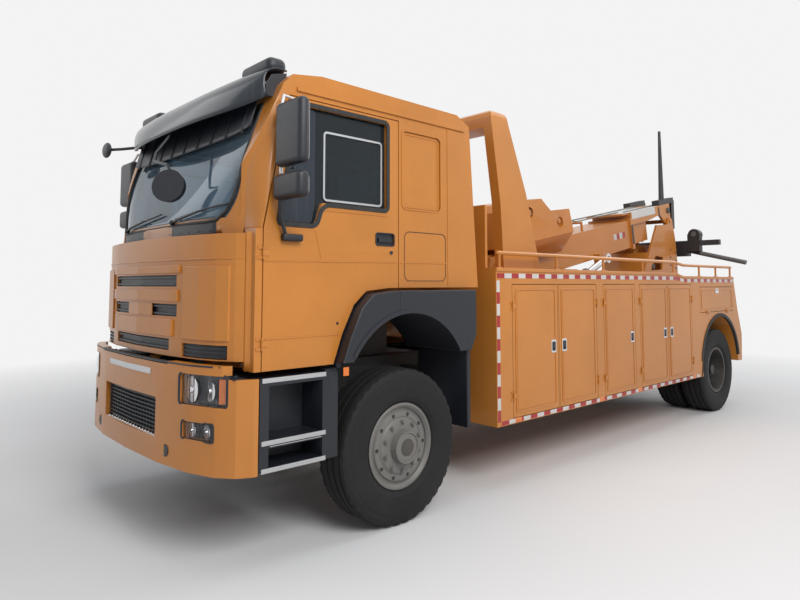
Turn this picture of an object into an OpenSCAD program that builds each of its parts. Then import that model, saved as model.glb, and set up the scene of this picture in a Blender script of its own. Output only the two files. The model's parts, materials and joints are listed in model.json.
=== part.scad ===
// Two-axle recovery truck: cab-over tractor, side locker bodies, winch boom
// and a folded tow arm hung from the boom head.
// Millimetres. Front of the truck faces -Y, its left side is +X, ground is Z = 0.
// Places along Y are measured rearwards from the front axle, then moved by place().

/* [Overall] */
// Length from the bumper to the rear of the crossbar
overall_length = 8560; // [8560:10:9600]
// Front axle behind the bumper face
nose_overhang = 1500; // [1480:10:1560]
// Distance between the axles
wheel_base = 5830; // [5780:10:5860]
// Half width over the side lockers
body_x = 1246; // [1230:1:1260]

/* [Wheels] */
// Outer diameter of a tyre
tyre_d = 1085; // [1040:1:1100]
// Width of a tyre
tyre_w = 300; // [270:1:310]
// Radius of the rim where the tyre seats
rim_r = 286; // [280:1:292]
// Radius of the rim flange
flange_r = 300; // [296:1:306]
// Radius of the wheel bearings' seat on its spindle
spindle_r = 60; // [50:1:70]
// Running clearance of a shaft in its bore
run_gap = 0.1; // [0.05:0.05:0.1]
// Centre of a front tyre from the middle of the truck
front_track_x = 1060; // [1050:1:1065]
// Centre of an outer rear tyre
rear_outer_x = 1046; // [1040:1:1050]
// Spacing of twin tyres
twin_pitch = 345; // [340:1:350]
// Steering pivot from the middle of the truck
kingpin_x = 850; // [840:1:856]
// Radius of the steering pivot pin
kingpin_r = 24; // [20:1:28]

/* [Chassis] */
// Outer half width of the frame rails
rail_x = 425; // [420:1:430]
// Width of a rail flange
rail_w = 80; // [70:1:90]
// Underside of the rails
rail_z = 790; // [785:1:800]
// Depth of the rails
rail_h = 290; // [280:1:300]
// Thickness of the rail section
rail_t = 12; // [8:1:14]
// Front end of the rails
rail_front = -1080; // [-1100:10:-1060]
// Rear end of the rails
rail_rear = 6400; // [6380:10:6410]
// Half the length of a rear leaf spring
rear_spring = 540; // [500:10:540]

/* [Cab] */
// Half width of the cab
cab_x = 1160; // [1150:1:1170]
// Thickness of cab walls and doors
cab_wall = 60; // [50:1:70]
// Gap around a cab door
door_gap = 7; // [6:1:9]
// Glass thickness
glass_t = 8; // [6:1:10]
// Flap thickness
flap_t = 30; // [24:1:34]
// Height of the cab tilt pivot
tilt_z = 860; // [850:1:870]
// Place of the cab tilt pivot
tilt_y = -1380; // [-1385:1:-1370]

/* [Side lockers] */
// Front face of the lockers
locker_front = 1014; // [1010:1:1030]
// Bottom of the lockers
locker_z0 = 523; // [515:1:530]
// Top of the lockers in front
locker_z1 = 1827; // [1810:1:1840]
// Top of the lockers at the rear
locker_z2 = 1790; // [1785:1:1800]
// Inner face of the lockers
locker_in = 560; // [558:1:565]
// Thickness of a locker panel
panel_t = 30; // [25:1:32]
// Radius of the rear wheel arch
arch_r = 615; // [605:1:620]
// Place of the rear arch centre
arch_y = 5815; // [5810:1:5820]
// Height of the rear arch centre
arch_z = 645; // [640:1:650]
// Bottom of the locker doors
hatch_z0 = 570; // [560:1:580]
// Top of the locker doors
hatch_z1 = 1685; // [1670:1:1700]
// Gap around a locker door
leaf_gap = 6; // [5:1:7]

/* [Gantry] */
// Outer half width of the gantry
gantry_x = 1100; // [1090:1:1110]
// Width of a gantry leg seen from the front
gantry_leg = 95; // [85:1:100]
// Top of the gantry
gantry_z = 3230; // [3200:1:3240]

/* [Boom] */
// Place of the boom pivot
boom_y = 2150; // [2140:1:2160]
// Height of the boom pivot
boom_z = 1880; // [1870:1:1890]
// Slope of the stowed boom
boom_angle = 10.8; // [10:0.1:11]
// Half width of the outer boom
boom_x = 300; // [290:1:300]
// Length of the outer boom from its pivot
boom_u = 3200; // [3150:1:3220]
// Half width of the winch housing
winch_x = 600; // [590:1:610]
// Half width of the inner boom
inner_x = 245; // [235:1:250]
// Bore radius of the lift cylinders
cyl_r = 65; // [60:1:70]
// Rod radius of the lift cylinders
rod_r = 40; // [36:1:44]

/* [Tow gear] */
// Place of the mast pin
mast_y = 6470; // [6465:1:6475]
// Height of the mast pin
mast_z = 2660; // [2655:1:2665]
// Radius of the mast pin
mast_pin_r = 30; // [26:1:32]
// Place of the tow arm's fold pin
fold_y = 6760; // [6755:1:6765]
// Height of the tow arm's fold pin
fold_z = 1500; // [1495:1:1510]
// Radius of the eye in a crossbar end
eye_r = 22; // [18:1:26]
// Half length of the crossbar
crossbar_x = 880; // [860:1:900]

/* [Hidden] */
$fn = 48;
axle_y = nose_overhang - overall_length / 2;
tail_y = overall_length - nose_overhang;
tyre_r = tyre_d / 2;
paint = [0.80, 0.50, 0.17];
black = [0.10, 0.11, 0.13];
steel = [0.45, 0.46, 0.48];
// Side doors: front edge, rear edge, hinge at the front (-1) or the rear (1)
DOORS = [[1235, 1915, -1], [1940, 2608, 1], [2754, 3412, -1], [3539, 4210, -1], [4236, 4900, 1]];
// Locker rooms behind them: front, rear
ROOMS = [[1060, 2680], [2710, 3470], [3500, 5120]];
HATCH = [5180, 6290, 1330, 1650];
// Outline of a cab door: place, height
DOOR_LINE = [[-1125, 1165], [-1125, 2030], [-945, 2890], [-10, 2890], [-10, 1662], [-100, 1662],
  [-310, 1642], [-420, 1549], [-520, 1356], [-590, 1165]];
WINDOW_LINE = [[-1015, 2072], [-740, 2072], [-690, 2222], [-120, 2222], [-120, 2850], [-880, 2850]];
// Outline of the cab from the side
CAB_LINE = [[-1120, 1160], [-1120, 1240], [-1330, 1240], [-1330, 2060], [-1000, 2960], [-930, 3035],
  [-700, 3070], [640, 3060], [790, 2985], [885, 1664], [-100, 1664], [-310, 1644], [-421, 1551],
  [-521, 1358], [-591, 1160]];
// Room inside it
CAB_ROOM = [[-1120, 1235], [-1260, 1300], [-1262, 2060], [-935, 2925], [-880, 2975], [-700, 3010],
  [620, 3000], [730, 2950], [822, 1730], [-130, 1730], [-350, 1712], [-480, 1600], [-640, 1235]];
// Nose of the cab seen from above: half width, place
NOSE_LINE = [[0, -1432], [500, -1405], [800, -1358], [950, -1312], [1050, -1250], [1120, -1180],
  [1160, -1110]];
BUMPER_LINE = [[0, -1500], [500, -1486], [850, -1440], [1050, -1370], [1150, -1290], [1200, -1200]];

// Cab tilt pin, flap hinge, inside of the nose and of the bumper
tilt_pin_r = 20;
flap_hinge_y = -1335;
flap_hinge_z = 1984;
nose_room = 102 + cab_wall;
bumper_in = -1430;
bumper_z = 1207;

module place() translate([0, axle_y, 0]) children();
module left_right() { children(); mirror([1, 0, 0]) children(); }
module side(right) mirror([right ? 1 : 0, 0, 0]) children();
// Outline of place and height, run across the truck from x0 to x1
module across(line, x0, x1) translate([x0, 0, 0]) rotate([90, 0, 90])
  linear_extrude(height = x1 - x0) polygon(line);
module block(x0, x1, y0, y1, z0, z1) translate([x0, y0, z0]) cube([x1 - x0, y1 - y0, z1 - z0]);
module rod_x(r, x0, x1, y, z) translate([x0, y, z]) rotate([0, 90, 0]) cylinder(r = r, h = x1 - x0);
module rod_y(r, x, y0, y1, z) translate([x, y0, z]) rotate([-90, 0, 0]) cylinder(r = r, h = y1 - y0);
module rod_z(r, x, y, z0, z1) translate([x, y, z0]) cylinder(r = r, h = z1 - z0);
// Straight bar of radius r between two points
module bar(a, b, r) {
  d = b - a;
  translate(a) rotate([0, acos(d[2] / norm(d)), atan2(d[1], d[0])]) cylinder(r = r, h = norm(d));
}
// Whole outline from a half outline of [half width, place], pushed back to y_back
function whole(half, shift, y_back) = let (n = len(half) - 1) concat(
  [for (i = [0:n]) [half[i][0], half[i][1] + shift]], [[half[n][0], y_back], [-half[n][0], y_back]],
  [for (i = [n:-1:1]) [-half[i][0], half[i][1] + shift]]);
module plan(line, z0, z1) translate([0, 0, z0]) linear_extrude(height = z1 - z0) polygon(line);
// Boom frame: origin at the boom pivot, +Y along the boom
module boom_frame() translate([0, boom_y, boom_z]) rotate([boom_angle, 0, 0]) children();

// ---- Hinges: pin along Z at [0, 0], fixed half on -Y, moving half on +Y ----
hinge_r = 9;
hinge_out = hinge_r + 0.5;
hinge_pin = 4;
hinge_len = 80;
module hinge_fixed(leaf = 40) {
  rod_z(hinge_pin, 0, 0, -hinge_len / 2, hinge_len / 2);
  for (z = [-hinge_len / 2, hinge_len / 2 - 20]) rod_z(hinge_r, 0, 0, z, z + 20);
  for (s = [-1, 1]) block(-hinge_r - 1, -hinge_r + 5, -leaf, 0, s * 30 - 9, s * 30 + 9);
}
module hinge_moving(leaf = 40) difference() {
  union() {
    rod_z(hinge_r, 0, 0, -18, 18);
    block(-hinge_r - 1, -hinge_r + 5, 0, leaf, -18, 18);
  }
  rod_z(hinge_pin + 0.3, 0, 0, -19, 19);
}

// ---- Chassis ----
module rail() difference() {
  block(rail_x - rail_w, rail_x, rail_front, rail_rear, rail_z, rail_z + rail_h);
  block(rail_x - rail_w - 1, rail_x - rail_t, rail_front - 1, rail_rear + 1, rail_z + rail_t,
    rail_z + rail_h - rail_t);
}
module chassis_frame() color(black) place() {
  left_right() rail();
  // Crossmembers, high enough to clear the propeller shaft
  for (y = [rail_front, 1560, 2300, 3300, 4500, 5300, rail_rear - 40])
    block(-rail_x + rail_t, rail_x - rail_t, y, y + 40, rail_z + rail_h - 110, rail_z + rail_h - rail_t);
  // Outriggers that carry the lockers
  left_right() for (y = [1150, 2600, 3900, 4950])
    block(rail_x, locker_in, y, y + 80, rail_z + 60, rail_z + 150);
  // Cab tilt brackets, bumper brackets and step brackets
  left_right() {
    difference() {
      block(rail_x - 60, rail_x - 20, tilt_y - 40, rail_front + 10, rail_z, tilt_z + 40);
      rod_x(tilt_pin_r + run_gap, rail_x - 70, rail_x, tilt_y, tilt_z);
    }
    block(rail_x - 110, rail_x - 65, bumper_in, rail_front + 1, rail_z, rail_z + 60);
    block(rail_x, 700, -1050, -990, rail_z + 20, rail_z + 100);
    block(rail_x, 640, 700, 740, rail_z + 100, rail_z + 200);
  }
  // Rear bulk plate
  block(-rail_x, rail_x, rail_rear, rail_rear + 12, rail_z - 60, rail_z + rail_h);
}
module engine() color(steel) place() {
  block(-310, 310, -560, 640, 700, 1400);
  block(-310, 310, -900, -780, 800, 1400);
  block(-120, 120, -781, -559, 820, 1250);
  block(-210, 210, 639, 1500, 830, 1070);
  left_right() block(309, rail_x - rail_t, -100, 0, 900, 980);
}
module spring(y, z, half, gap_z) {
  across([[y - half, z + 105], [y - half, z + 125], [y - half * 0.5, z + 60], [y - 60, z + 50],
    [y + 60, z + 50], [y + half * 0.5, z + 60], [y + half, z + 125], [y + half, z + 105],
    [y + half * 0.45, z + 25], [y + 60, z], [y - 60, z], [y - half * 0.45, z + 25]],
    rail_x - rail_w, rail_x - 5);
  for (s = [-1, 1]) {
    rod_x(28, rail_x - rail_w - 3, rail_x - 2, y + s * half, z + 115);
    block(rail_x - 60, rail_x - 20, y + s * half - 25, y + s * half + 25, z + 115, gap_z);
  }
}
module front_axle() color(black) place() {
  block(-kingpin_x + 60, kingpin_x - 60, -50, 50, 430, 520);
  left_right() {
    difference() {
      union() {
        rod_z(48, kingpin_x, 0, 480, 600);
        block(kingpin_x - 120, kingpin_x, -40, 40, 480, 560);
      }
      rod_z(kingpin_r, kingpin_x, 0, 470, 610);
    }
    rod_z(kingpin_r, kingpin_x, 0, 440, 640);
    spring(0, 520, 700, rail_z);
  }
}
module rear_axle() color(black) place() {
  rod_x(90, -560, 560, wheel_base, tyre_r);
  rod_x(spindle_r, -1120, 1120, wheel_base, tyre_r);
  rod_x(210, -95, 95, wheel_base, tyre_r);
  block(-75, 75, wheel_base - 330, wheel_base, tyre_r - 75, tyre_r + 75);
  bar([0, 1515, 898], [0, wheel_base - 325, tyre_r], 50);
  left_right() spring(wheel_base, tyre_r + 80, rear_spring, rail_z);
}
module air_tanks() color(black) place() left_right() {
  rod_y(110, 235, 2200, 3100, 640);
  for (y = [2300, 2950]) block(rail_x - 45, rail_x - 20, y, y + 40, 640, rail_z);
  for (y = [2300, 2950]) block(300, rail_x - 20, y, y + 40, 620, 660);
}

// ---- Steering and wheels ----
module knuckle() {
  difference() {
    union() {
      for (z = [[442, 478], [602, 638]]) {
        rod_z(52, kingpin_x, 0, z[0], z[1]);
        block(kingpin_x, kingpin_x + 95, -52, 52, z[0], z[1]);
      }
      block(kingpin_x + 62, kingpin_x + 95, -52, 52, 442, 638);
      rod_x(spindle_r, kingpin_x + 80, front_track_x + 150, 0, tyre_r);
    }
    rod_z(kingpin_r + run_gap, kingpin_x, 0, 430, 650);
  }
}
module steering_knuckle_left() color(black) place() knuckle();
module steering_knuckle_right() color(black) place() side(true) knuckle();
// Tyre ring about X, its middle at x = 0
module tyre_ring() rotate([0, 90, 0]) rotate_extrude($fn = 96) polygon([
  [rim_r + 0.2, -tyre_w * 0.34], [flange_r + 2, -tyre_w * 0.375], [flange_r + 12, -tyre_w * 0.43],
  [tyre_r * 0.79, -tyre_w / 2],
  [tyre_r - 42, -tyre_w * 0.47], [tyre_r - 8, -tyre_w * 0.40], [tyre_r, -tyre_w * 0.34],
  [tyre_r, tyre_w * 0.34], [tyre_r - 8, tyre_w * 0.40], [tyre_r - 42, tyre_w * 0.47],
  [tyre_r * 0.79, tyre_w / 2], [flange_r + 12, tyre_w * 0.43], [flange_r + 2, tyre_w * 0.375],
  [rim_r + 0.2, tyre_w * 0.34]]);
// Rim with its disc, outer side towards +X, disc face at x = disc
module rim(disc, hub_out, hub_r) difference() {
  union() {
    rotate([0, 90, 0]) rotate_extrude($fn = 96) polygon([
      [rim_r - 20, -tyre_w * 0.42], [flange_r, -tyre_w * 0.42], [flange_r, -tyre_w * 0.39],
      [rim_r, -tyre_w * 0.355], [rim_r, tyre_w * 0.355], [flange_r, tyre_w * 0.39],
      [flange_r, tyre_w * 0.42], [rim_r - 20, tyre_w * 0.42]]);
    rod_x(rim_r - 5, disc - 14, disc, 0, 0);
    rod_x(150, disc - 60, disc, 0, 0);
    rod_x(hub_r, disc - 1, hub_out, 0, 0);
  }
  for (a = [0:36:324]) rotate([a, 0, 0]) rod_x(26, disc - 15, disc + 1, 0, 235);
  rod_x(spindle_r + run_gap, -tyre_w, hub_out - 40, 0, 0);
}
module front_tyre() translate([front_track_x, 0, tyre_r]) tyre_ring();
module front_wheel() translate([front_track_x, 0, tyre_r]) rim(110, tyre_w * 0.42 + 65, 205);
module front_tyre_left() color(black) place() front_tyre();
module front_tyre_right() color(black) place() side(true) front_tyre();
module front_wheel_left() color(steel) place() front_wheel();
module front_wheel_right() color(steel) place() side(true) front_wheel();
module rear_pair() for (x = [rear_outer_x, rear_outer_x - twin_pitch])
  translate([x, wheel_base, tyre_r]) children();
module rear_wheel() {
  // Outer rim deeply dished, inner rim turned round so that the two discs meet
  inner_x0 = rear_outer_x - twin_pitch;
  disc = (inner_x0 - rear_outer_x) / 2;
  translate([rear_outer_x, wheel_base, tyre_r]) difference() {
    union() {
      rim(disc + 15, -20, 120);
      for (s = [0, -twin_pitch]) translate([s, 0, 0]) rotate([0, 90, 0]) rotate_extrude($fn = 96)
        polygon([[rim_r - 20, -tyre_w * 0.42], [rim_r, -tyre_w * 0.355], [rim_r, tyre_w * 0.355],
        [rim_r - 20, tyre_w * 0.42]]);
      rod_x(rim_r - 18, -twin_pitch + tyre_w * 0.3, -tyre_w * 0.3, 0, 0);
    }
    rod_x(200, -twin_pitch - tyre_w * 0.5, disc - 10, 0, 0);
    rod_x(spindle_r + run_gap, -twin_pitch - tyre_w, -10, 0, 0);
  }
  translate([inner_x0, wheel_base, tyre_r]) rotate([0, 90, 0]) rotate_extrude($fn = 96) polygon([
    [rim_r - 20, -tyre_w * 0.42], [flange_r, -tyre_w * 0.42], [flange_r, -tyre_w * 0.39],
    [rim_r, -tyre_w * 0.355], [rim_r - 20, -tyre_w * 0.3]]);
}
module rear_tyres_left() color(black) place() rear_pair() tyre_ring();
module rear_tyres_right() color(black) place() side(true) rear_pair() tyre_ring();
module rear_wheels_left() color(black) place() rear_wheel();
module rear_wheels_right() color(black) place() side(true) rear_wheel();

// ---- Cab ----
// Door outline grown by g on every side but the slanted pillar, which moves forward
module door_cut(g, x0, x1) across([[-1125 - g, 1165 - g], [-1125 - g, 2030], [-945 - g, 2890 + g],
  [-10 + g, 2890 + g], [-10 + g, 1600], [-98, 1600], [-315, 1600], [-430, 1500], [-530, 1320],
  [-590 + g, 1150]], x0, x1);
module cab_shell() color(paint) place() {
  difference() {
    intersection() {
      across(CAB_LINE, -cab_x, cab_x);
      plan(whole(NOSE_LINE, 102, 900), 1100, 3100);
    }
    intersection() {
      across(CAB_ROOM, -cab_x + cab_wall, cab_x - cab_wall);
      plan(whole(NOSE_LINE, nose_room, 900), 1100, 3100);
    }
    // Tunnel over the engine
    block(-430, 430, -1400, 900, 1100, 1500);
    // Windscreen, side doors and rear corner recesses
    block(-985, 985, -1500, -880, 2110, 2840);
    left_right() door_cut(door_gap, cab_x - cab_wall - 200, cab_x + 50);
    left_right() block(cab_x - 12, cab_x + 1, 35, 440, 2250, 2830);
  }
  // Engine tunnel cover and corner posts beside the flap
  difference() {
    block(-460, 460, -1262, 880, 1480, 1760);
    block(-430, 430, -1263, 881, 1400, 1730);
    across([[-1400, 1400], [-1262, 1400], [-1262, 1760], [-1400, 1760]], -500, 500);
  }
  left_right() {
    block(1030, cab_x, -1180, -1125 - door_gap, 1165, 2030);
    // Door hinges
    for (z = [1330, 1880]) translate([cab_x + hinge_out, -1125 - door_gap / 2, z]) hinge_fixed();
    // Flap hinge lugs
    for (x = [520, 604]) {
      rod_x(12, x, x + 36, flap_hinge_y, flap_hinge_z);
      block(x, x + 36, flap_hinge_y, -1270, flap_hinge_z - 12, flap_hinge_z + 12);
    }
    rod_x(6, 520, 640, flap_hinge_y, flap_hinge_z);
    // Cab tilt arms, slanted so that they pass behind the bumper
    rod_x(38, rail_x - 16, rail_x + 45, tilt_y, tilt_z);
    across([[tilt_y, tilt_z + 38], [tilt_y + 270, 1185], [tilt_y + 340, 1185], [tilt_y + 30, tilt_z - 25]],
      rail_x - 16, rail_x + 45);
    rod_x(tilt_pin_r, rail_x - 60, rail_x - 15, tilt_y, tilt_z);
  }
  // Gutters above the doors
  left_right() block(cab_x - 2, cab_x + 14, -900, 720, 2930, 2955);
}
function screen_y(z) = -1330 + (z - 2060) * 330 / 900;
module windscreen() color([0.2, 0.25, 0.3, 0.4]) place()
  across([[screen_y(2110), 2110], [screen_y(2110) + glass_t, 2110],
    [screen_y(2840) + glass_t, 2840], [screen_y(2840), 2840]], -985, 985);
module cab_door() {
  difference() {
    across(DOOR_LINE, cab_x - cab_wall, cab_x);
    across(WINDOW_LINE, cab_x - cab_wall - 1, cab_x + 1);
    block(cab_x - 30, cab_x + 1, -224, -51, 1965, 2050);
  }
  rod_x(12, cab_x - 12, cab_x + 4, -80, 1915);
  for (z = [1330, 1880]) translate([cab_x + hinge_out, -1125 - door_gap / 2, z]) hinge_moving();
}
module cab_door_left() color(paint) place() cab_door();
module cab_door_right() color(paint) place() side(true) cab_door();
module door_glass() across(WINDOW_LINE, cab_x - 30 - glass_t, cab_x - 30);
module door_glass_left() color([0.15, 0.2, 0.25, 0.4]) place() door_glass();
module door_glass_right() color([0.15, 0.2, 0.25, 0.4]) place() side(true) door_glass();
// Grille slots: bottom, top, half width
SLOTS = [[1673, 1749, 546], [1480, 1560, 555], [1260, 1335, 470]];
module front_flap() color(paint) place() {
  difference() {
    intersection() {
      plan(whole(NOSE_LINE, 0, -1000), 1225, 2000);
      block(-1088, 1088, -1500, -1000, 1225, 2000);
    }
    intersection() {
      plan(whole(NOSE_LINE, flap_t, -900), 1200, 2010);
      block(-1088 + flap_t, 1088 - flap_t, -1500, -900, 1200, 2010);
    }
    block(-1100, 1100, -1190, -900, 1200, 2010);
    for (s = SLOTS) block(-s[2], s[2], -1500, -1300, s[0], s[1]);
    left_right() block(620, 1010, -1420, -1260, 1232, 1318);
  }
  left_right() difference() {
    union() {
      rod_x(12, 558, 602, flap_hinge_y, flap_hinge_z);
      block(558, 602, -1375, flap_hinge_y, flap_hinge_z - 12, flap_hinge_z + 12);
    }
    rod_x(6.2, 550, 610, flap_hinge_y, flap_hinge_z);
  }
}
module bumper() color(paint) place() {
  difference() {
    union() {
      plan(whole(BUMPER_LINE, 0, -1170), 570, 1130);
      intersection() {
        plan(whole(BUMPER_LINE, 0, -1170), 1130, bumper_z);
        block(-1085, 1085, -1510, -1170, 1100, bumper_z);
      }
    }
    plan(whole(BUMPER_LINE, 60, -1100), 560, bumper_z + 1);
    // Foot of the flap, intake and lamp pockets
    block(-600, 600, -1520, -1380, 1190, bumper_z + 1);
    block(-466, 466, -1520, -1380, 720, 969);
    left_right() {
      block(745, 1105, -1520, -1200, 965, 1150);
      block(780, 1040, -1520, -1200, 765, 870);
    }
  }
  left_right() block(rail_x - 110, rail_x - 65, bumper_in - 11, bumper_in, 700, rail_z + 60);
  left_right() block(1080, 1140, -1280, -1155, 640, 1100);
  // Perforated step under the intake
  block(-466, 466, -1470, -1380, 700, 722);
}
module headlamps() color([0.75, 0.76, 0.78]) place() left_right() {
  intersection() {
    plan(whole(BUMPER_LINE, 12, -1285), 965, 1150);
    block(745, 1105, -1520, -1285, 965, 1150);
  }
  intersection() {
    plan(whole(BUMPER_LINE, 20, -1300), 765, 870);
    block(780, 1040, -1520, -1300, 765, 870);
  }
}
module sun_visor() color([0.12, 0.16, 0.22]) place() {
  across([[-1000, 3098], [-985, 3072], [-1310, 2795], [-1345, 2810]], -1087, 1087);
  left_right() for (x = [1000, 330]) across([[-1010, 3085], [-936, 3029], [-960, 3003],
    [-1040, 3040]], x, x + 24);
  // Roof lamp and front look-down mirror on its arm
  left_right() block(640, 980, -985, -900, 3040, 3130);
  rod_x(14, -1330, -1080, -1242, 2885);
  block(-1420, -1240, -1290, -1235, 2812, 2960);
}
module mirrors() {
  block(1200, 1490, -1090, -1010, 2400, 2800);
  block(1180, 1480, -1090, -1000, 2200, 2360);
  bar([1260, -1070, 2799], [1175, -905, 2868], 10);
  block(cab_x, 1180, -925, -885, 2858, 2878);
  bar([1290, -1050, 2359], [1290, -1050, 2401], 12);
  bar([1255, -1050, 2202], [1185, -985, 1990], 12);
  block(cab_x, 1205, -1010, -860, 1955, 2005);
}
module mirrors_left() color(black) place() mirrors();
module mirrors_right() color(black) place() side(true) mirrors();
module seats() color([0.55, 0.55, 0.52]) place() {
  left_right() {
    block(490, 960, -560, -80, 1730, 1990);
    translate([490, -80, 1985]) rotate([-12, 0, 0]) {
      block(0, 470, -120, 0, -40, 620);
      block(150, 320, -110, -20, 600, 760);
    }
  }
  block(-1050, 1050, 130, 770, 1760, 1985);
}
module dashboard() color(black) place() {
  intersection() {
    across([[-1260, 1760], [-1260, 2060], [-1190, 2105], [-1010, 2060], [-960, 1900], [-1000, 1760]],
      -1092, 1092);
    plan(whole(NOSE_LINE, nose_room, 900), 1600, 2200);
  }
  bar([600, -985, 1930], [600, -800, 2040], 30);
  translate([600, -795, 2043]) rotate([-59, 0, 0]) rotate_extrude() translate([215, 0]) circle(r = 15, $fn = 16);
  translate([600, -795, 2043]) rotate([-59, 0, 0]) for (a = [90, 210, 330]) rotate([0, 0, a])
    block(0, 215, -14, 14, -8, 8);
}
// Arch over a front wheel: liner ring, outer flare and rear mudguard
module wheel_arch() {
  difference() {
    across([[-577, 1172], [-512, 1340], [-418, 1528], [-318, 1622], [-100, 1645], [760, 1645],
      [760, 1290], [700, 1172]], 1120, 1250);
    rod_x(600, 1000, 1300, 40, 880);
  }
  difference() {
    rod_x(620, 640, 1121, 40, 880);
    rod_x(600, 630, 1130, 40, 880);
    block(600, 1200, -800, 800, 200, 1172);
  }
  block(640, 1200, 700, 740, 560, 1215);
  block(640, 1200, 640, 740, 1172, 1215);
  block(640, 1180, -577, -540, 1140, 1172);
}
module wheel_arches() color(black) place() left_right() wheel_arch();
module cab_steps() color(black) place() left_right() {
  difference() {
    block(700, 1195, -1155, -665, 580, 1125);
    block(960, 1200, -1090, -700, 760, 1080);
    block(960, 1200, -1090, -700, 600, 715);
  }
  block(1170, 1195, -666, -577, 580, 1125);
  block(640, 1180, -670, -577, 1100, 1140);
}

// ---- Side lockers ----
LOCKER_LINE = [[locker_front, locker_z0], [locker_front, locker_z1], [4490, locker_z1],
  [4690, locker_z2], [6350, locker_z2], [6470, 1340], [6605, 980], [6575, 620], [6450, 620],
  [6330, 700], [5200, 523]];
module locker() {
  difference() {
    across(LOCKER_LINE, locker_in, body_x);
    rod_x(arch_r, locker_in - 1, body_x + 1, arch_y, arch_z);
    for (r = ROOMS) difference() {
      block(locker_in + 20, body_x - panel_t, r[0], r[1], locker_z0 + 25, locker_z2 - 30);
      rod_x(arch_r + 40, locker_in, body_x, arch_y, arch_z);
    }
    block(locker_in + 20, body_x - panel_t, 5150, HATCH[1] + 20, HATCH[2] - 20, locker_z2 - 30);
    for (d = DOORS) block(body_x - panel_t - 1, body_x + 1, d[0] - leaf_gap, d[1] + leaf_gap,
      hatch_z0 - leaf_gap, hatch_z1 + leaf_gap);
    block(body_x - panel_t - 1, body_x + 1, HATCH[0] - leaf_gap, HATCH[1] + leaf_gap,
      HATCH[2] - leaf_gap, HATCH[3] + leaf_gap);
  }
  for (d = DOORS) door_hinges(d) hinge_fixed(30);
  for (y = [5400, 6070]) hatch_hinge(y) hinge_fixed(30);
  // Handrail on its posts
  rod_y(17, 1215, 1080, 4520, 1954);
  bar([1215, 4505, 1954], [1215, 4775, 1925], 14);
  rod_y(17, 1215, 4760, 6340, 1925);
  for (y = [1100, 1960, 2820, 3680, 4480]) rod_z(12, 1215, y, locker_z1 - 1, 1954);
  for (y = [5250, 5800, 6320]) rod_z(12, 1215, y, locker_z2 - 1, 1925);
}
// Hinge pairs of a side door, turned round where the door hangs from its rear edge
module door_hinges(d) for (z = [hatch_z0 + 180, hatch_z1 - 180])
  translate([body_x + hinge_out, d[2] < 0 ? d[0] - leaf_gap / 2 : d[1] + leaf_gap / 2, z])
    mirror([0, d[2] > 0 ? 1 : 0, 0]) children();
module hatch_hinge(y) translate([body_x + hinge_out, y, HATCH[2] - leaf_gap / 2])
  rotate([90, 0, 0]) children();
module locker_door(i) {
  d = DOORS[i];
  block(body_x - panel_t, body_x, d[0], d[1], hatch_z0, hatch_z1);
  block(body_x - 1, body_x + 3, d[0] + 60, d[1] - 60, hatch_z0 + 60, hatch_z1 - 60);
  door_hinges(d) hinge_moving();
}
module drop_hatch() {
  block(body_x - panel_t, body_x, HATCH[0], HATCH[1], HATCH[2], HATCH[3]);
  for (y = [5400, 6070]) hatch_hinge(y) hinge_moving();
}
module side_locker_left() color(paint) place() locker();
module side_locker_right() color(paint) place() side(true) locker();
module locker_door_left_1() color(paint) place() locker_door(0);
module locker_door_left_2() color(paint) place() locker_door(1);
module locker_door_left_3() color(paint) place() locker_door(2);
module locker_door_left_4() color(paint) place() locker_door(3);
module locker_door_left_5() color(paint) place() locker_door(4);
module locker_door_right_1() color(paint) place() side(true) locker_door(0);
module locker_door_right_2() color(paint) place() side(true) locker_door(1);
module locker_door_right_3() color(paint) place() side(true) locker_door(2);
module locker_door_right_4() color(paint) place() side(true) locker_door(3);
module locker_door_right_5() color(paint) place() side(true) locker_door(4);
module drop_hatch_left() color(paint) place() drop_hatch();
module drop_hatch_right() color(paint) place() side(true) drop_hatch();

// ---- Deck, gantry and pedestal ----
deck_z = rail_z + rail_h + 120;
module deck() color(paint) place() {
  block(-locker_in, locker_in, locker_front, rail_rear, deck_z - 20, deck_z);
  left_right() block(rail_x - rail_w, rail_x, locker_front, rail_rear, rail_z + rail_h, deck_z - 20);
  // Bulkhead between the gantry legs
  block(-locker_in, locker_in, 1060, 1090, deck_z, 2370);
  left_right() block(locker_in, gantry_x, 1060, 1090, locker_z1, 2370);
}
GANTRY_LINE = [[1314, locker_z1], [1278, 2390], [1154, 3165], [1165, 3205], [1200, gantry_z],
  [1330, gantry_z], [1375, 3205], [1400, 3134], [1660, 2520], [1868, locker_z1]];
module gantry() color(paint) place() difference() {
  across(GANTRY_LINE, -gantry_x, gantry_x);
  block(-gantry_x + gantry_leg, gantry_x - gantry_leg, 1000, 2000, locker_z1 - 1, gantry_z - 150);
  left_right() difference() {
    block(gantry_x - 60, gantry_x + 1, 1000, 2000, gantry_z - 60, gantry_z + 1);
    rod_y(60, gantry_x - 60, 990, 2010, gantry_z - 60);
  }
}
module boom_pedestal() color(paint) place() {
  difference() {
    union() {
      left_right() across([[1950, deck_z], [2050, boom_z], [2090, boom_z + 90], [2150, boom_z + 110],
        [2210, boom_z + 90], [2250, boom_z - 10], [2620, deck_z]], boom_x + 8, boom_x + 58);
      block(-boom_x - 58, boom_x + 58, 1960, 2000, deck_z, deck_z + 250);
    }
    rod_x(50, -400, 400, boom_y, boom_z);
  }
  rod_x(50, -boom_x - 70, boom_x + 70, boom_y, boom_z);
  // Feet of the lift cylinders
  left_right() for (x = [lift_x - 98, lift_x + 68]) across([[2640, deck_z], [2690, foot_z + 40],
    [2810, foot_z + 40], [2860, deck_z]], x, x + 30);
  left_right() rod_x(lift_pin_r, lift_x - 98, lift_x + 98, foot_y, foot_z);
}

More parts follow.
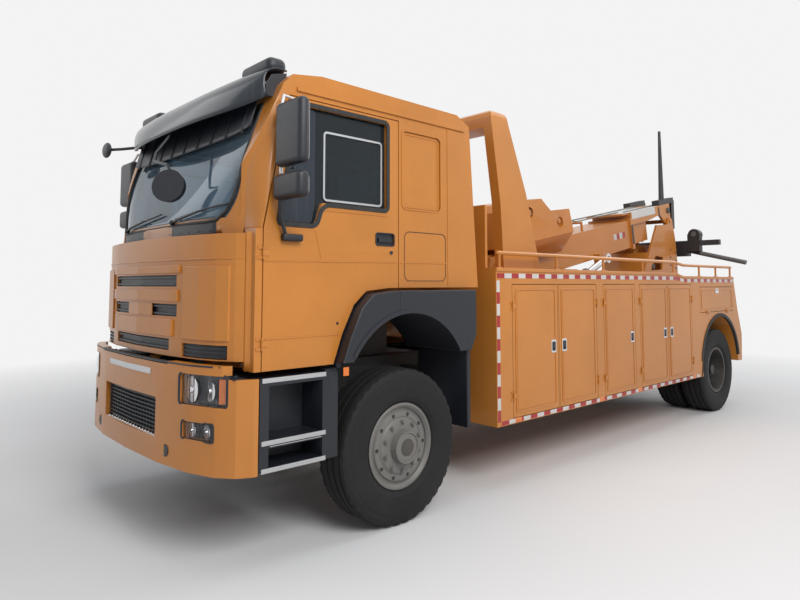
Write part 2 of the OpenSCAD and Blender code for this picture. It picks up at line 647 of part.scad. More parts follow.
// ---- Boom ----
// Mast pin in the boom frame
head_u = (mast_y - boom_y) * cos(boom_angle) + (mast_z - boom_z) * sin(boom_angle);
head_w = (mast_z - boom_z) * cos(boom_angle) - (mast_y - boom_y) * sin(boom_angle);
WINCH_LINE = [[150, -20], [150, 130], [-20, 180], [40, 560], [110, 640], [300, 654], [619, 636],
  [774, 488], [1154, 470], [1191, 200], [1150, -20]];
module boom_base() color(paint) place() boom_frame() {
  difference() {
    union() {
      block(-boom_x, boom_x, -110, boom_u, -265, 120);
      block(-boom_x - 25, boom_x + 25, boom_u - 70, boom_u, -290, 145);
      difference() {
        across(WINCH_LINE, -winch_x, winch_x);
        // Bevelled lower sides
        left_right() translate([winch_x, 0, 200]) rotate([0, 38, 0]) block(0, 400, -100, 1400, -600, 0);
        block(-winch_x + 40, winch_x - 40, 820, 1400, 150, 440);
      }
    }
    // Room for the inner boom
    block(-inner_x - 8, inner_x + 8, 250, boom_u + 1, -248, 68);
    rod_x(50 + run_gap, -winch_x, winch_x, 0, 0);
    left_right() rod_x(60, winch_x - 60, winch_x + 1, 378, 508);
    left_right() rod_x(60, winch_x - 39, winch_x + 1, 933, 340);
    // Relief for the pedestal ears
    left_right() translate([boom_x, 0, 0]) rotate([0, 90, 0]) cylinder(r = 128, h = 66);
  }
  left_right() for (u = [[378, 508, 160], [933, 358, 120]])
    rod_x(u[2] / 4, winch_x - 60, winch_x - 8, u[0], u[1]);
  // Rope roller post and guide on the boom
  rod_z(22, 240, 1290, 119, 380);
  rod_z(22, -240, 1290, 119, 380);
  rod_x(18, -240, 240, 1290, 360);
  rod_z(16, 200, 2050, 119, 240);
  rod_z(16, -200, 2050, 119, 240);
  rod_x(14, -200, 200, 2050, 225);
  // Lugs of the lift cylinders
  left_right() block(boom_x - 1, boom_x + 92, 2080, 2220, -330, -200);
  // Wear pads at the mouth of the boom
  left_right() block(inner_x + 0.3, inner_x + 9, 3120, 3190, -200, 20);
  block(-200, 200, 3120, 3190, -249, -240.3);
}
module boom_extension() color(paint) place() boom_frame() {
  block(-inner_x, inner_x, 700, 3760, -240, 60);
  left_right() block(inner_x - 1, inner_x + 7.7, 760, 840, -200, 20);
  difference() {
    union() {
      // Head beam with its end cheeks
      left_right() across([[boom_u + 12, 45], [boom_u + 12, 223], [4500, 223], [4490, -100],
        [4452, -118], [4328, -118], [4290, -60], [4140, 88], [3900, 60], [3700, 45]],
        boom_x - 40, boom_x);
      block(-boom_x + 1, boom_x - 1, boom_u + 12, 4500, 195, 223);
      block(-boom_x + 1, boom_x - 1, boom_u + 12, 3760, 45, 223);
      block(-boom_x + 20, boom_x - 20, 3020, boom_u + 20, 200, 223);
    }
    rod_x(mast_pin_r, -400, 400, head_u, head_w);
    block(-130, 130, 3600, 3761, 30, 194);
  }
  rod_x(mast_pin_r, -boom_x - 45, boom_x + 45, head_u, head_w);
  // Head sheaves on their pin
  rod_x(28, -boom_x + 30, boom_x - 30, 4420, 120);
  left_right() rod_x(70, 160, 200, 4420, 120);
  // Tilt rod anchor under the top plate
  left_right() block(40, 70, 4190, 4290, 100, 196);
}
// Rope guards over the sheaves, turned down behind the head, each with its hook; one stowed stake
module hook_block() color(black) place() {
  left_right() {
    boom_frame() difference() {
      block(175, 285, 4180, 4700, 223, 300);
      block(205, 255, 4260, 4560, 222, 270);
    }
    block(175, 285, 6640, 6740, 2560, 3010);
    rod_z(22, 230, 6690, 2450, 2561);
    translate([230, 6690, 2440]) rotate([0, 90, 0]) rotate_extrude() translate([50, 0])
      circle(r = 16, $fn = 16);
  }
  translate([230, boom_y + 4400 * cos(boom_angle) - 290 * sin(boom_angle),
    boom_z + 4400 * sin(boom_angle) + 290 * cos(boom_angle)]) cylinder(r1 = 40, r2 = 20, h = 1080);
}
// Lift cylinders: foot pin at [foot_y, foot_z], rod eye at [eye_y, eye_z]
foot_y = 2750;
foot_z = deck_z + 150;
eye_y = boom_y + 2150 * cos(boom_angle) + 265 * sin(boom_angle);
eye_z = boom_z + 2150 * sin(boom_angle) - 265 * cos(boom_angle);
lift_angle = atan2(eye_z - foot_z, eye_y - foot_y);
lift_len = norm([eye_y - foot_y, eye_z - foot_z]);
lift_x = boom_x + 135;
lift_pin_r = 28;
module lift_frame() translate([lift_x, foot_y, foot_z]) rotate([lift_angle, 0, 0]) children();
module lift_cylinder_barrels() color(steel) place() left_right() lift_frame() difference() {
  union() {
    rod_x(62, -66, 66, 0, 0);
    rod_y(cyl_r, 0, 40, 1180, 0);
    rod_y(cyl_r + 10, 0, 1120, 1180, 0);
  }
  rod_x(lift_pin_r + 0.2, -67, 67, 0, 0);
  rod_y(rod_r + 0.3, 0, 150, 1181, 0);
}
module lift_cylinder_rods() color([0.8, 0.8, 0.82]) place() left_right() lift_frame() {
  rod_y(rod_r, 0, 160, lift_len - 50, 0);
  difference() {
    rod_x(62, -37, 37, lift_len, 0);
    rod_x(lift_pin_r + 0.2, -41, 41, lift_len, 0);
  }
}

// ---- Mast, carriage and tow arm ----
mast_in = boom_x + 5;
MAST_LINE = [[6010, 2567], [6380, 2600], [6398, 2640], [6420, 2690], [6470, 2715], [6520, 2700],
  [6545, 2650], [6575, 2560], [6635, 2367], [6680, 2058], [6700, 1440], [5550, 1440], [5550, 1840]];
module mast_column() color(paint) place() {
  left_right() difference() {
    across(MAST_LINE, mast_in, mast_in + 30);
    across([[5940, 2107], [6190, 2092], [6150, 1907], [5780, 1890]], mast_in - 1, mast_in + 31);
    rod_x(mast_pin_r + run_gap, mast_in - 1, mast_in + 31, mast_y, mast_z);
  }
  // Cross plates: front leg, foot and the carriage's guides
  across([[5550, 1460], [5570, 1460], [5570, 1840], [5760, 2140], [5742, 2152], [5550, 1850]],
    -mast_in - 1, mast_in + 1);
  left_right() block(240, mast_in + 1, 6430, 6447.5, 1460, 2300);
  left_right() block(240, mast_in + 1, 6622.5, 6640, 1460, 2300);
  block(-mast_in - 1, mast_in + 1, 6400, 6429, 1900, 2300);
  // Foot and barrel of the tilt cylinder
  left_right() block(52, 80, 5700, 5900, 1850, 1990);
  block(-mast_in - 1, mast_in + 1, 5560, 5800, 1840, 1862);
  tilt_frame() difference() {
    union() {
      rod_x(45, -53, 53, 0, 0);
      rod_y(46, 0, 40, 620, 0);
    }
    rod_y(25.3, 0, 100, 621, 0);
  }
}
tilt_foot = [5850, 1950];
tilt_eye = [6235, 2790];
tilt_len = norm(tilt_eye - tilt_foot);
module tilt_frame() translate([0, tilt_foot[0], tilt_foot[1]])
  rotate([atan2(tilt_eye[1] - tilt_foot[1], tilt_eye[0] - tilt_foot[0]), 0, 0]) children();
module tilt_cylinder_rod() color([0.8, 0.8, 0.82]) place() tilt_frame() {
  rod_y(25, 0, 110, tilt_len - 30, 0);
  rod_x(36, -32, 32, tilt_len, 0);
}
module mast_carriage() color(black) place() {
  block(-290, 290, 6448, 6622, 1400, 2290);
  left_right() difference() {
    union() {
      block(120, 160, 6600, fold_y, 1420, 1600);
      rod_x(80, 120, 160, fold_y, fold_z);
    }
    rod_x(32, 100, 170, fold_y, fold_z);
  }
  rod_x(32, -170, 170, fold_y, fold_z);
}
module tow_arm() color(black) place() difference() {
  union() {
    block(-100, 100, fold_y - 80, fold_y + 80, fold_z, 2100);
    rod_x(80, -110, 110, fold_y, fold_z);
  }
  block(-78, 78, fold_y - 58, fold_y + 58, fold_z + 120, 2101);
  rod_x(32 + run_gap, -120, 120, fold_y, fold_z);
}
module tow_arm_slide() color(black) place() {
  block(-77.5, 77.5, fold_y - 57.5, fold_y + 57.5, fold_z + 140, 2360);
  rod_y(40, 0, fold_y, tail_y - 20, 2250);
}
module crossbar() color(black) place() difference() {
  union() {
    block(-420, 420, tail_y - 200, tail_y - 60, 2130, 2370);
    rod_y(75, 0, tail_y - 200, tail_y, 2250);
    left_right() {
      // Receiver ears and tapered end
      block(420, 600, tail_y - 190, tail_y - 70, 2200, 2470);
      rod_y(90, 520, tail_y - 190, tail_y - 70, 2460);
      block(560, crossbar_x, tail_y - 170, tail_y - 90, 2290, 2370);
      // Stowed stake
      bar([430, tail_y - 130, 2210], [1230, tail_y - 130, 2010], 32);
    }
  }
  rod_y(40 + run_gap, 0, tail_y - 300, tail_y - 19, 2250);
  left_right() rod_y(eye_r, 520, tail_y - 200, tail_y - 60, 2470);
}

chassis_frame();
engine();
front_axle();
rear_axle();
air_tanks();
steering_knuckle_left();
steering_knuckle_right();
front_tyre_left();
front_tyre_right();
front_wheel_left();
front_wheel_right();
rear_tyres_left();
rear_tyres_right();
rear_wheels_left();
rear_wheels_right();
cab_shell();
windscreen();
cab_door_left();
cab_door_right();
door_glass_left();
door_glass_right();
front_flap();
bumper();
headlamps();
sun_visor();
mirrors_left();
mirrors_right();
seats();
dashboard();
wheel_arches();
cab_steps();
side_locker_left();
side_locker_right();
locker_door_left_1();
locker_door_left_2();
locker_door_left_3();
locker_door_left_4();
locker_door_left_5();
locker_door_right_1();
locker_door_right_2();
locker_door_right_3();
locker_door_right_4();
locker_door_right_5();
drop_hatch_left();
drop_hatch_right();
deck();
gantry();
boom_pedestal();
boom_base();
boom_extension();
hook_block();
lift_cylinder_barrels();
lift_cylinder_rods();
mast_column();
mast_carriage();
tilt_cylinder_rod();
tow_arm();
tow_arm_slide();
crossbar();
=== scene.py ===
import json
import math
import bmesh
import bpy
from mathutils import Matrix, Vector


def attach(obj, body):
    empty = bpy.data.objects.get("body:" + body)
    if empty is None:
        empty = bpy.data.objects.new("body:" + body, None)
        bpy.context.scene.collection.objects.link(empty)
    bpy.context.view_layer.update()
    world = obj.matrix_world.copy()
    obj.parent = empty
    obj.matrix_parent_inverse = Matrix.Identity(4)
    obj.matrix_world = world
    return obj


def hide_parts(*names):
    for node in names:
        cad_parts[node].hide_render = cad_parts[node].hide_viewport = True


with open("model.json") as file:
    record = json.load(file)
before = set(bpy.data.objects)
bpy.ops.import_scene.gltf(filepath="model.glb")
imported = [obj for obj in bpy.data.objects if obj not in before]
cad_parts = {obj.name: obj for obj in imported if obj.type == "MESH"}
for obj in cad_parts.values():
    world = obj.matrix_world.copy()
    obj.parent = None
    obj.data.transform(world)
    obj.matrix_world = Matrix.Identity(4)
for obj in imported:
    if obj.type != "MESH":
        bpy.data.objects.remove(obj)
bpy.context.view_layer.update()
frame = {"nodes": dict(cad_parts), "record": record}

AXLE = -2.780                  # front axle's place along Y; places below are measured from it
SIDES = (("left", 1), ("right", -1))
REAR_Y, TAIL_Y = 5.83, 6.600   # rear axle, and the rear face of the body
CAB_X, BODY_X = 1.160, 1.246   # half widths of the cab and of the lockers
RAIL_X = 1.215                 # handrails along the locker tops
BOOM_Y, BOOM_Z = 2.150, 1.880  # pivot of the boom
GREY = (0.90, 0.90, 0.90, 1)   # plain backdrop
BODY_OF = {n: b for b, ns in frame["record"]["behaviour"]["bodies"].items() for n in ns}
SLOT_OF = {p["node"]: p["material_slot"] for p in frame["record"]["subparts"]}

# ---- materials ----


def node_group(name, inputs, outputs):
    g = bpy.data.node_groups.new(name, "ShaderNodeTree")
    for n, kind, value in inputs:
        s = g.interface.new_socket(n, in_out="INPUT", socket_type=kind)
        s.default_value = value
    for n, kind in outputs:
        g.interface.new_socket(n, in_out="OUTPUT", socket_type=kind)
    return g, g.nodes.new("NodeGroupInput"), g.nodes.new("NodeGroupOutput")


def add(tree, kind, **sockets):
    n = tree.nodes.new(kind)
    for k, v in sockets.items():
        if k.startswith("_"):
            setattr(n, k[1:], v)
            continue
        key = int(k[1:]) if k[0] == "i" and k[1:].isdigit() else k.replace("_", " ")
        if isinstance(v, bpy.types.NodeSocket):
            tree.links.new(v, n.inputs[key])
        else:
            n.inputs[key].default_value = v
    return n


def make_road_dust():
    """Dust that thickens towards the ground and gathers in uneven patches."""
    g, i, o = node_group("road dust",
        [("Amount", "NodeSocketFloat", 0.3), ("Top", "NodeSocketFloat", 1.6)],
        [("Mask", "NodeSocketFloat"), ("Speck", "NodeSocketFloat")])
    where = add(g, "ShaderNodeTexCoord").outputs["Object"]
    z = add(g, "ShaderNodeSeparateXYZ", Vector=where).outputs["Z"]
    low = add(g, "ShaderNodeMapRange", Value=z, From_Min=i.outputs["Top"], From_Max=0.2,
        To_Min=0.12, To_Max=1.0).outputs[0]
    patch = add(g, "ShaderNodeTexNoise", Vector=where, Scale=2.6, Detail=8.0, Roughness=0.62).outputs["Fac"]
    patch = add(g, "ShaderNodeMapRange", Value=patch, From_Min=0.38, From_Max=0.72).outputs[0]
    speck = add(g, "ShaderNodeTexNoise", Vector=where, Scale=90.0, Detail=4.0, Roughness=0.7).outputs["Fac"]
    both = add(g, "ShaderNodeMath", _operation="MULTIPLY", i0=low, i1=patch).outputs[0]
    rough = add(g, "ShaderNodeMath", _operation="MULTIPLY_ADD", i0=speck, i1=0.9, i2=0.55).outputs[0]
    both = add(g, "ShaderNodeMath", _operation="MULTIPLY", i0=both, i1=rough).outputs[0]
    both = add(g, "ShaderNodeMath", _operation="MULTIPLY", i0=both, i1=i.outputs["Amount"]).outputs[0]
    g.links.new(both, o.inputs["Mask"])
    g.links.new(speck, o.inputs["Speck"])
    return g


def make_rain_streaks():
    """Faint upright streaks left by rain."""
    g, i, o = node_group("rain streaks", [("Amount", "NodeSocketFloat", 0.2)],
        [("Mask", "NodeSocketFloat")])
    where = add(g, "ShaderNodeTexCoord").outputs["Object"]
    thin = add(g, "ShaderNodeMapping", Vector=where, Scale=(14.0, 14.0, 0.9)).outputs[0]
    n = add(g, "ShaderNodeTexNoise", Vector=thin, Scale=2.2, Detail=5.0, Roughness=0.6).outputs["Fac"]
    n = add(g, "ShaderNodeMapRange", Value=n, From_Min=0.5, From_Max=0.78).outputs[0]
    n = add(g, "ShaderNodeMath", _operation="MULTIPLY", i0=n, i1=i.outputs["Amount"]).outputs[0]
    g.links.new(n, o.inputs["Mask"])
    return g


def make_orange_peel():
    """Fine unevenness of sprayed paint or moulded plastic."""
    g, i, o = node_group("surface grain",
        [("Scale", "NodeSocketFloat", 300.0), ("Depth", "NodeSocketFloat", 0.05)],
        [("Normal", "NodeSocketVector")])
    where = add(g, "ShaderNodeTexCoord").outputs["Object"]
    n = add(g, "ShaderNodeTexNoise", Vector=where, Scale=i.outputs["Scale"], Detail=3.0).outputs["Fac"]
    b = add(g, "ShaderNodeBump", Strength=i.outputs["Depth"], Distance=0.002, Height=n).outputs[0]
    g.links.new(b, o.inputs["Normal"])
    return g


ROAD_DUST = make_road_dust()
RAIN = make_rain_streaks()
GRAIN = make_orange_peel()
DUST = (0.20, 0.17, 0.14, 1)


def grouped(tree, group, **sockets):
    """A node group set into the tree with its values."""
    n = tree.nodes.new("ShaderNodeGroup")
    n.node_tree = group
    for k, v in sockets.items():
        n.inputs[k].default_value = v
    return n.outputs


def finish(name, colour, rough, metal=0.0, coat=0.0, dust=0.3, top=1.6, streaks=0.15,
           grain=300.0, depth=0.05, tint=0.12, spec=0.5):
    """A painted, moulded or metal finish with its colour drift, dust, streaks and grain."""
    m = bpy.data.materials.new(name)
    m.use_nodes = True
    t = m.node_tree
    b = t.nodes["Principled BSDF"]
    b.inputs["Metallic"].default_value = metal
    b.inputs["Coat Weight"].default_value = coat
    b.inputs["Coat Roughness"].default_value = 0.08
    b.inputs["Specular IOR Level"].default_value = spec
    where = add(t, "ShaderNodeTexCoord").outputs["Object"]
    drift = add(t, "ShaderNodeTexNoise", Vector=where, Scale=1.3, Detail=6.0, Roughness=0.6).outputs["Fac"]
    drift = add(t, "ShaderNodeMapRange", Value=drift, From_Min=0.3, From_Max=0.7).outputs[0]
    deep = tuple(c * (1 - tint) for c in colour) + (1,)
    light = tuple(min(1, c * (1 + tint * 0.5)) for c in colour) + (1,)
    base = add(t, "ShaderNodeMix", _data_type="RGBA", i0=drift, i6=deep, i7=light).outputs[2]
    dusty = grouped(t, ROAD_DUST, Amount=dust, Top=top)
    rain = grouped(t, RAIN, Amount=streaks)
    dirt = add(t, "ShaderNodeMath", _operation="MAXIMUM", i0=dusty["Mask"], i1=rain["Mask"]).outputs[0]
    base = add(t, "ShaderNodeMix", _data_type="RGBA", i0=dirt, i6=base, i7=DUST).outputs[2]
    t.links.new(base, b.inputs["Base Color"])
    worn = add(t, "ShaderNodeMath", _operation="MULTIPLY_ADD", i0=dirt, i1=0.55, i2=rough).outputs[0]
    worn = add(t, "ShaderNodeMath", _operation="MULTIPLY_ADD", i0=dusty["Speck"], i1=0.06, i2=worn).outputs[0]
    t.links.new(worn, b.inputs["Roughness"])
    t.links.new(grouped(t, GRAIN, Scale=grain, Depth=depth)["Normal"], b.inputs["Normal"])
    return m


def glass(name, colour, rough=0.0, through=1.0):
    m = bpy.data.materials.new(name)
    m.use_nodes = True
    t = m.node_tree
    b = t.nodes["Principled BSDF"]
    where = add(t, "ShaderNodeTexCoord").outputs["Object"]
    n = add(t, "ShaderNodeTexNoise", Vector=where, Scale=3.0, Detail=4.0).outputs["Fac"]
    c = add(t, "ShaderNodeMix", _data_type="RGBA", i0=n, i6=tuple(k * 0.9 for k in colour) + (1,),
        i7=tuple(colour) + (1,)).outputs[2]
    t.links.new(c, b.inputs["Base Color"])
    r = add(t, "ShaderNodeMapRange", Value=n, From_Min=0.3, From_Max=0.8, To_Min=rough,
        To_Max=rough + 0.02).outputs[0]
    t.links.new(r, b.inputs["Roughness"])
    b.inputs["Transmission Weight"].default_value = through
    b.inputs["IOR"].default_value = 1.30
    return m


M = {
    "orange": finish("orange paint", (0.53, 0.195, 0.030), 0.34, coat=0.30, dust=0.12,
        streaks=0.06, depth=0.02, spec=0.35),
    "black_steel": finish("black chassis paint", (0.018, 0.018, 0.020), 0.45, dust=0.22, top=2.2),
    "black_plastic": finish("black moulded plastic", (0.008, 0.010, 0.016), 0.42, dust=0.04,
        streaks=0.03, grain=700.0, depth=0.25),
    "rubber": finish("black rubber seal and painted gap shadow", (0.012, 0.012, 0.013), 0.62, dust=0.2, grain=500.0, depth=0.2),
    "tyre": finish("tyre rubber", (0.011, 0.011, 0.012), 0.70, dust=0.05, top=1.0,
        streaks=0.02, grain=260.0, depth=0.4, spec=0.3),
    "visor": finish("smoked acrylic", (0.012, 0.020, 0.032), 0.16, coat=0.2, dust=0.05, depth=0.0, spec=0.4),
    "hub": finish("grey wheel paint", (0.155, 0.150, 0.140), 0.40, dust=0.35, top=1.3, depth=0.1),
    "dark_wheel": finish("dark wheel paint", (0.030, 0.029, 0.028), 0.5, dust=0.6, top=1.3, depth=0.1),
    "chrome": finish("bright chrome", (0.72, 0.72, 0.74), 0.10, metal=1.0, dust=0.1, streaks=0.05, depth=0.01),
    "aluminium": finish("bare aluminium and painted visor highlight", (0.56, 0.57, 0.58), 0.36, metal=1.0, dust=0.35, depth=0.12),
    "cast": finish("cast engine steel", (0.09, 0.09, 0.095), 0.6, metal=0.4, dust=0.6,
        top=2.0, grain=120.0, depth=0.4),
    "cylinder": finish("grey cylinder paint", (0.10, 0.105, 0.11), 0.38, dust=0.4, top=2.6),
    "white": finish("white paint", (0.66, 0.66, 0.64), 0.35, coat=0.2, dust=0.25, top=3.2),
    "red_tape": finish("red reflective tape", (0.36, 0.012, 0.014), 0.28, dust=0.25, grain=900.0, depth=0.2),
    "white_tape": finish("white reflective tape", (0.60, 0.58, 0.55), 0.28, dust=0.25, grain=900.0, depth=0.2),
    "red_lens": finish("red lens", (0.50, 0.010, 0.010), 0.15, coat=0.6, dust=0.1, grain=400.0, depth=0.3),
    "amber": finish("amber lens", (0.75, 0.17, 0.01), 0.15, coat=0.6, dust=0.15, grain=400.0, depth=0.3),
    "lamp_glass": glass("clear lamp cover", (0.95, 0.96, 0.97)),
    "screen": glass("windscreen glass", (0.30, 0.42, 0.52), through=0.80),
    "window": glass("tinted window glass", (0.13, 0.17, 0.20), through=0.90),
    "rope": finish("steel wire rope", (0.20, 0.19, 0.17), 0.42, metal=0.8, dust=0.3,
        top=3.5, grain=900.0, depth=0.8),
    "cloth": finish("seat cloth", (0.33, 0.33, 0.31), 0.85, dust=0.1, grain=1500.0, depth=0.6),
    "dash": finish("dashboard plastic", (0.045, 0.048, 0.05), 0.6, dust=0.2, grain=800.0, depth=0.3),
    "mirror": finish("mirror glass", (0.80, 0.82, 0.84), 0.02, metal=1.0, dust=0.05, streaks=0.0, depth=0.0),
    "curtain": finish("pale curtain", (0.55, 0.53, 0.47), 0.9, dust=0.1, grain=900.0, depth=0.5),
}
NODE_FINISH = {"orange_paint": "orange", "black_paint": "black_steel", "black_plastic": "black_plastic",
    "smoked_plastic": "visor", "cast_steel": "cast", "wheel_steel": "dark_wheel", "tyre_rubber": "tyre",
    "tinted_glass": "window", "lamp_glass": "lamp_glass", "seat_cloth": "cloth",
    "cylinder_paint": "cylinder", "chrome_rod": "chrome"}

# ---- modelling helpers ----


def piece(bm, name, body, material, stands_for=(), edge=0.0, smooth=32, steps=2, normals=True):
    """Turns the mesh into a finished piece that rides on its body."""
    if normals:
        bmesh.ops.recalc_face_normals(bm, faces=bm.faces[:])
    mesh = bpy.data.meshes.new(name)
    bm.to_mesh(mesh)
    bm.free()
    o = bpy.data.objects.new(name, mesh)
    bpy.context.scene.collection.objects.link(o)
    mesh.materials.append(M[material])
    if smooth:
        mesh.shade_smooth()
        mesh.set_sharp_from_angle(angle=math.radians(smooth))
    if edge:
        b = o.modifiers.new("rounded edges", "BEVEL")
        b.width = edge
        b.segments = steps
        b.limit_method = "ANGLE"
        b.angle_limit = math.radians(smooth or 30)
        b.use_clamp_overlap = True
        b.harden_normals = True
    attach(o, body)
    if stands_for:
        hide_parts(*stands_for)
    return o


def softened(node, edge=0.006, material=None, smooth=32, steps=2):
    """The CAD node's own form with its edges rounded."""
    bm = bmesh.new()
    bm.from_mesh(frame["nodes"][node].data)
    bmesh.ops.remove_doubles(bm, verts=bm.verts[:], dist=2e-5)
    bmesh.ops.dissolve_limit(bm, angle_limit=math.radians(0.6), verts=bm.verts[:], edges=bm.edges[:])
    return piece(bm, node + "_body", BODY_OF[node], material or NODE_FINISH[SLOT_OF[node]],
        (node,), edge, smooth, steps, normals=False)


def box(bm, x0, x1, y0, y1, z0, z1):
    size = (abs(x1 - x0), abs(y1 - y0), abs(z1 - z0))
    mid = Vector(((x0 + x1) / 2, (y0 + y1) / 2 + AXLE, (z0 + z1) / 2))
    place = Matrix.Translation(mid) @ Matrix.Diagonal((*size, 1))
    return bmesh.ops.create_cube(bm, size=1.0, matrix=place)["verts"]


def verts_of(out):
    return [g for g in out["geom"] if isinstance(g, bmesh.types.BMVert)]


def rounded(bm, vs, offset, segments):
    """Rounds every edge of the block that vs belong to."""
    edges = list({e for v in vs for e in v.link_edges})
    return bmesh.ops.bevel(bm, geom=edges, offset=offset, segments=segments, profile=0.5, affect="EDGES",
        material=-1)


def rod(bm, a, b, r, r2=None, sides=20):
    a, b = (Vector((p[0], p[1] + AXLE, p[2])) for p in (a, b))
    d = b - a
    place = Matrix.Translation((a + b) / 2) @ d.to_track_quat("Z", "Y").to_matrix().to_4x4()
    bmesh.ops.create_cone(bm, cap_ends=True, segments=sides, radius1=r, radius2=r if r2 is None else r2,
        depth=d.length, matrix=place)


def ball(bm, p, r, sides=14, squash=(1, 1, 1)):
    place = Matrix.Translation((p[0], p[1] + AXLE, p[2])) @ Matrix.Diagonal((*squash, 1))
    bmesh.ops.create_uvsphere(bm, u_segments=sides, v_segments=sides // 2 + 1, radius=r, matrix=place)


def tube(bm, points, r, sides=14):
    for a, b in zip(points, points[1:]):
        rod(bm, a, b, r, sides=sides)
    for p in points[1:-1]:
        ball(bm, p, r, sides)


def side_wall(s, x):
    """Puts outlines of (place, height) on the wall at x of side s."""
    return lambda u, v, w: Vector((s * (x + w), u + AXLE, v))


def front_wall(y):
    """Puts outlines of (across, height) on an upright wall facing forwards at y."""
    return lambda u, v, w: Vector((u, y - w + AXLE, v))


def sheet(bm, points, put, depth, radius=0.0, lift=0.0, sides=5):
    """A plate with rounded corners, standing depth proud of its wall."""
    vs = [bm.verts.new(put(u, v, lift)) for u, v in points]
    f = bm.faces.new(vs)
    if radius:
        got = bmesh.ops.bevel(bm, geom=vs, affect="VERTICES", offset=radius, segments=sides, profile=0.5,
            material=-1)
        mine = set(got["verts"]) | set(f.verts if f.is_valid else ())
        whole = (g for g in bm.faces if all(v in mine for v in g.verts))
        f = max(whole, key=lambda g: g.calc_area(), default=f)
    out = bmesh.ops.extrude_face_region(bm, geom=[f])
    step = put(0, 0, depth) - put(0, 0, 0)
    bmesh.ops.translate(bm, vec=step, verts=verts_of(out))
    return f


def border(bm, points, put, width, depth, radius=0.0, lift=0.0, sides=6):
    """A closed strip of the given width along an outline, standing depth proud of its wall."""
    fresh = bmesh.new()
    vs = [fresh.verts.new(put(u, v, lift)) for u, v in points]
    f = fresh.faces.new(vs)
    if radius:
        bmesh.ops.bevel(fresh, geom=vs, affect="VERTICES", offset=radius, segments=sides, profile=0.5,
            material=-1)
    fresh.faces.ensure_lookup_table()
    f = fresh.faces[0]
    bmesh.ops.inset_region(fresh, faces=[f], thickness=width, use_even_offset=True, use_boundary=True)
    bmesh.ops.delete(fresh, geom=[f], context="FACES_ONLY")
    out = bmesh.ops.extrude_face_region(fresh, geom=fresh.faces[:])
    step = put(0, 0, depth) - put(0, 0, 0)
    bmesh.ops.translate(fresh, vec=step, verts=verts_of(out))
    bmesh.ops.recalc_face_normals(fresh, faces=fresh.faces[:])
    held = bpy.data.meshes.new("strip")
    fresh.to_mesh(held)
    fresh.free()
    bm.from_mesh(held)
    bpy.data.meshes.remove(held)


def turned(bm, profile, centre, s=1, sides=96):
    """Turns a closed outline of (along the axle, radius) about the axle through centre."""
    cx, cy, cz = centre
    vs = [bm.verts.new((s * (cx + a), cy + AXLE, cz + r)) for a, r in profile]
    es = [bm.edges.new((vs[i], vs[(i + 1) % len(vs)])) for i in range(len(vs))]
    bmesh.ops.spin(bm, geom=vs + es, cent=(0, cy + AXLE, cz), axis=(1, 0, 0), angle=2 * math.pi,
        steps=sides, use_merge=True)


def rect(a, b, c, d):
    return [(a, c), (b, c), (b, d), (a, d)]

# ---- wheels ----

TYRE_R, RIM_R, FLANGE_R = 0.5425, 0.286, 0.300
FRONT = (1.060, 0.0, TYRE_R)
REAR_X, TWIN = 1.046, 0.345    # outer twin, and the step in to the inner one


def tyre(bm, centre, s):
    groove = [(0.100, 0.012), (0.034, 0.014)]
    half = [(0.102, RIM_R + 0.001), (0.113, FLANGE_R + 0.002), (0.131, 0.318), (0.137, 0.335), (0.142, 0.342),
            (0.147, 0.372), (0.150, 0.43), (0.1485, 0.470), (0.146, 0.474), (0.1465, 0.500), (0.140, 0.519),
            (0.133, 0.534), (0.122, 0.5395)]
    tread = []
    for x, depth in groove:
        foot = 0.5415 - depth
        tread += [(x + 0.007, 0.541), (x + 0.005, foot), (x - 0.005, foot), (x - 0.007, 0.5422)]
    out = [(-a, r) for a, r in half] + [(-a, r) for a, r in tread]
    out += [(a, r) for a, r in reversed(tread)] + [(a, r) for a, r in reversed(half)]
    turned(bm, out, centre, s, sides=120)
    # Shoulder blocks: every third segment of the outer shoulder is cut in
    cx, cy, cz = centre
    for v in bm.verts:
        d = Vector((0, v.co.y - cy - AXLE, v.co.z - cz))
        off = abs(abs(v.co.x) - cx)
        turn = math.atan2(d.z, d.y) / (2 * math.pi) * 120
        if 0.118 < off < 0.1425 and d.length > 0.515 and round(turn) % 3 == 0:
            v.co -= d.normalized() * 0.009


def front_wheel(bm, s):
    face = 0.126
    turned(bm, [(-face, RIM_R - 0.02), (-face, FLANGE_R), (-0.117, FLANGE_R), (-0.106, RIM_R), (0.106, RIM_R),
        (0.117, FLANGE_R), (face - 0.004, FLANGE_R + 0.001), (face, FLANGE_R - 0.004), (face, RIM_R - 0.004),
        (0.108, RIM_R - 0.022), (0.096, 0.262), (0.098, 0.250), (0.112, 0.240), (0.116, 0.205), (0.112, 0.198),
        (0.125, 0.185), (0.134, 0.150), (0.136, 0.118), (0.190, 0.110), (0.191, 0.101), (0.182, 0.097),
        (0.184, 0.080), (0.186, 0.061), (0.02, 0.061), (0.02, 0.20), (0.06, 0.262)], FRONT, s)
    for k in range(10):
        a = 2 * math.pi * (k + 0.5) / 10
        y, z = 0.168 * math.cos(a), TYRE_R + 0.168 * math.sin(a)
        rod(bm, (s * 1.180, y, z), (s * 1.206, y, z), 0.0165, 0.015, 6)
        rod(bm, (s * 1.206, y, z), (s * 1.216, y, z), 0.010, 0.008, 12)


def hub_holes(bm, s, x, r, size, count=10):
    for k in range(count):
        a = 2 * math.pi * k / count
        y, z = r * math.cos(a), TYRE_R + r * math.sin(a)
        rod(bm, (s * (x - 0.004), y, z), (s * (x + 0.0015), y, z), size, size, 20)


def cap(bm, s, x, y, rings):
    profile = [(x - 0.02, 0.001)] + [(x + a, r) for a, r in rings]
    turned(bm, profile, (0, y, TYRE_R), s, sides=64)


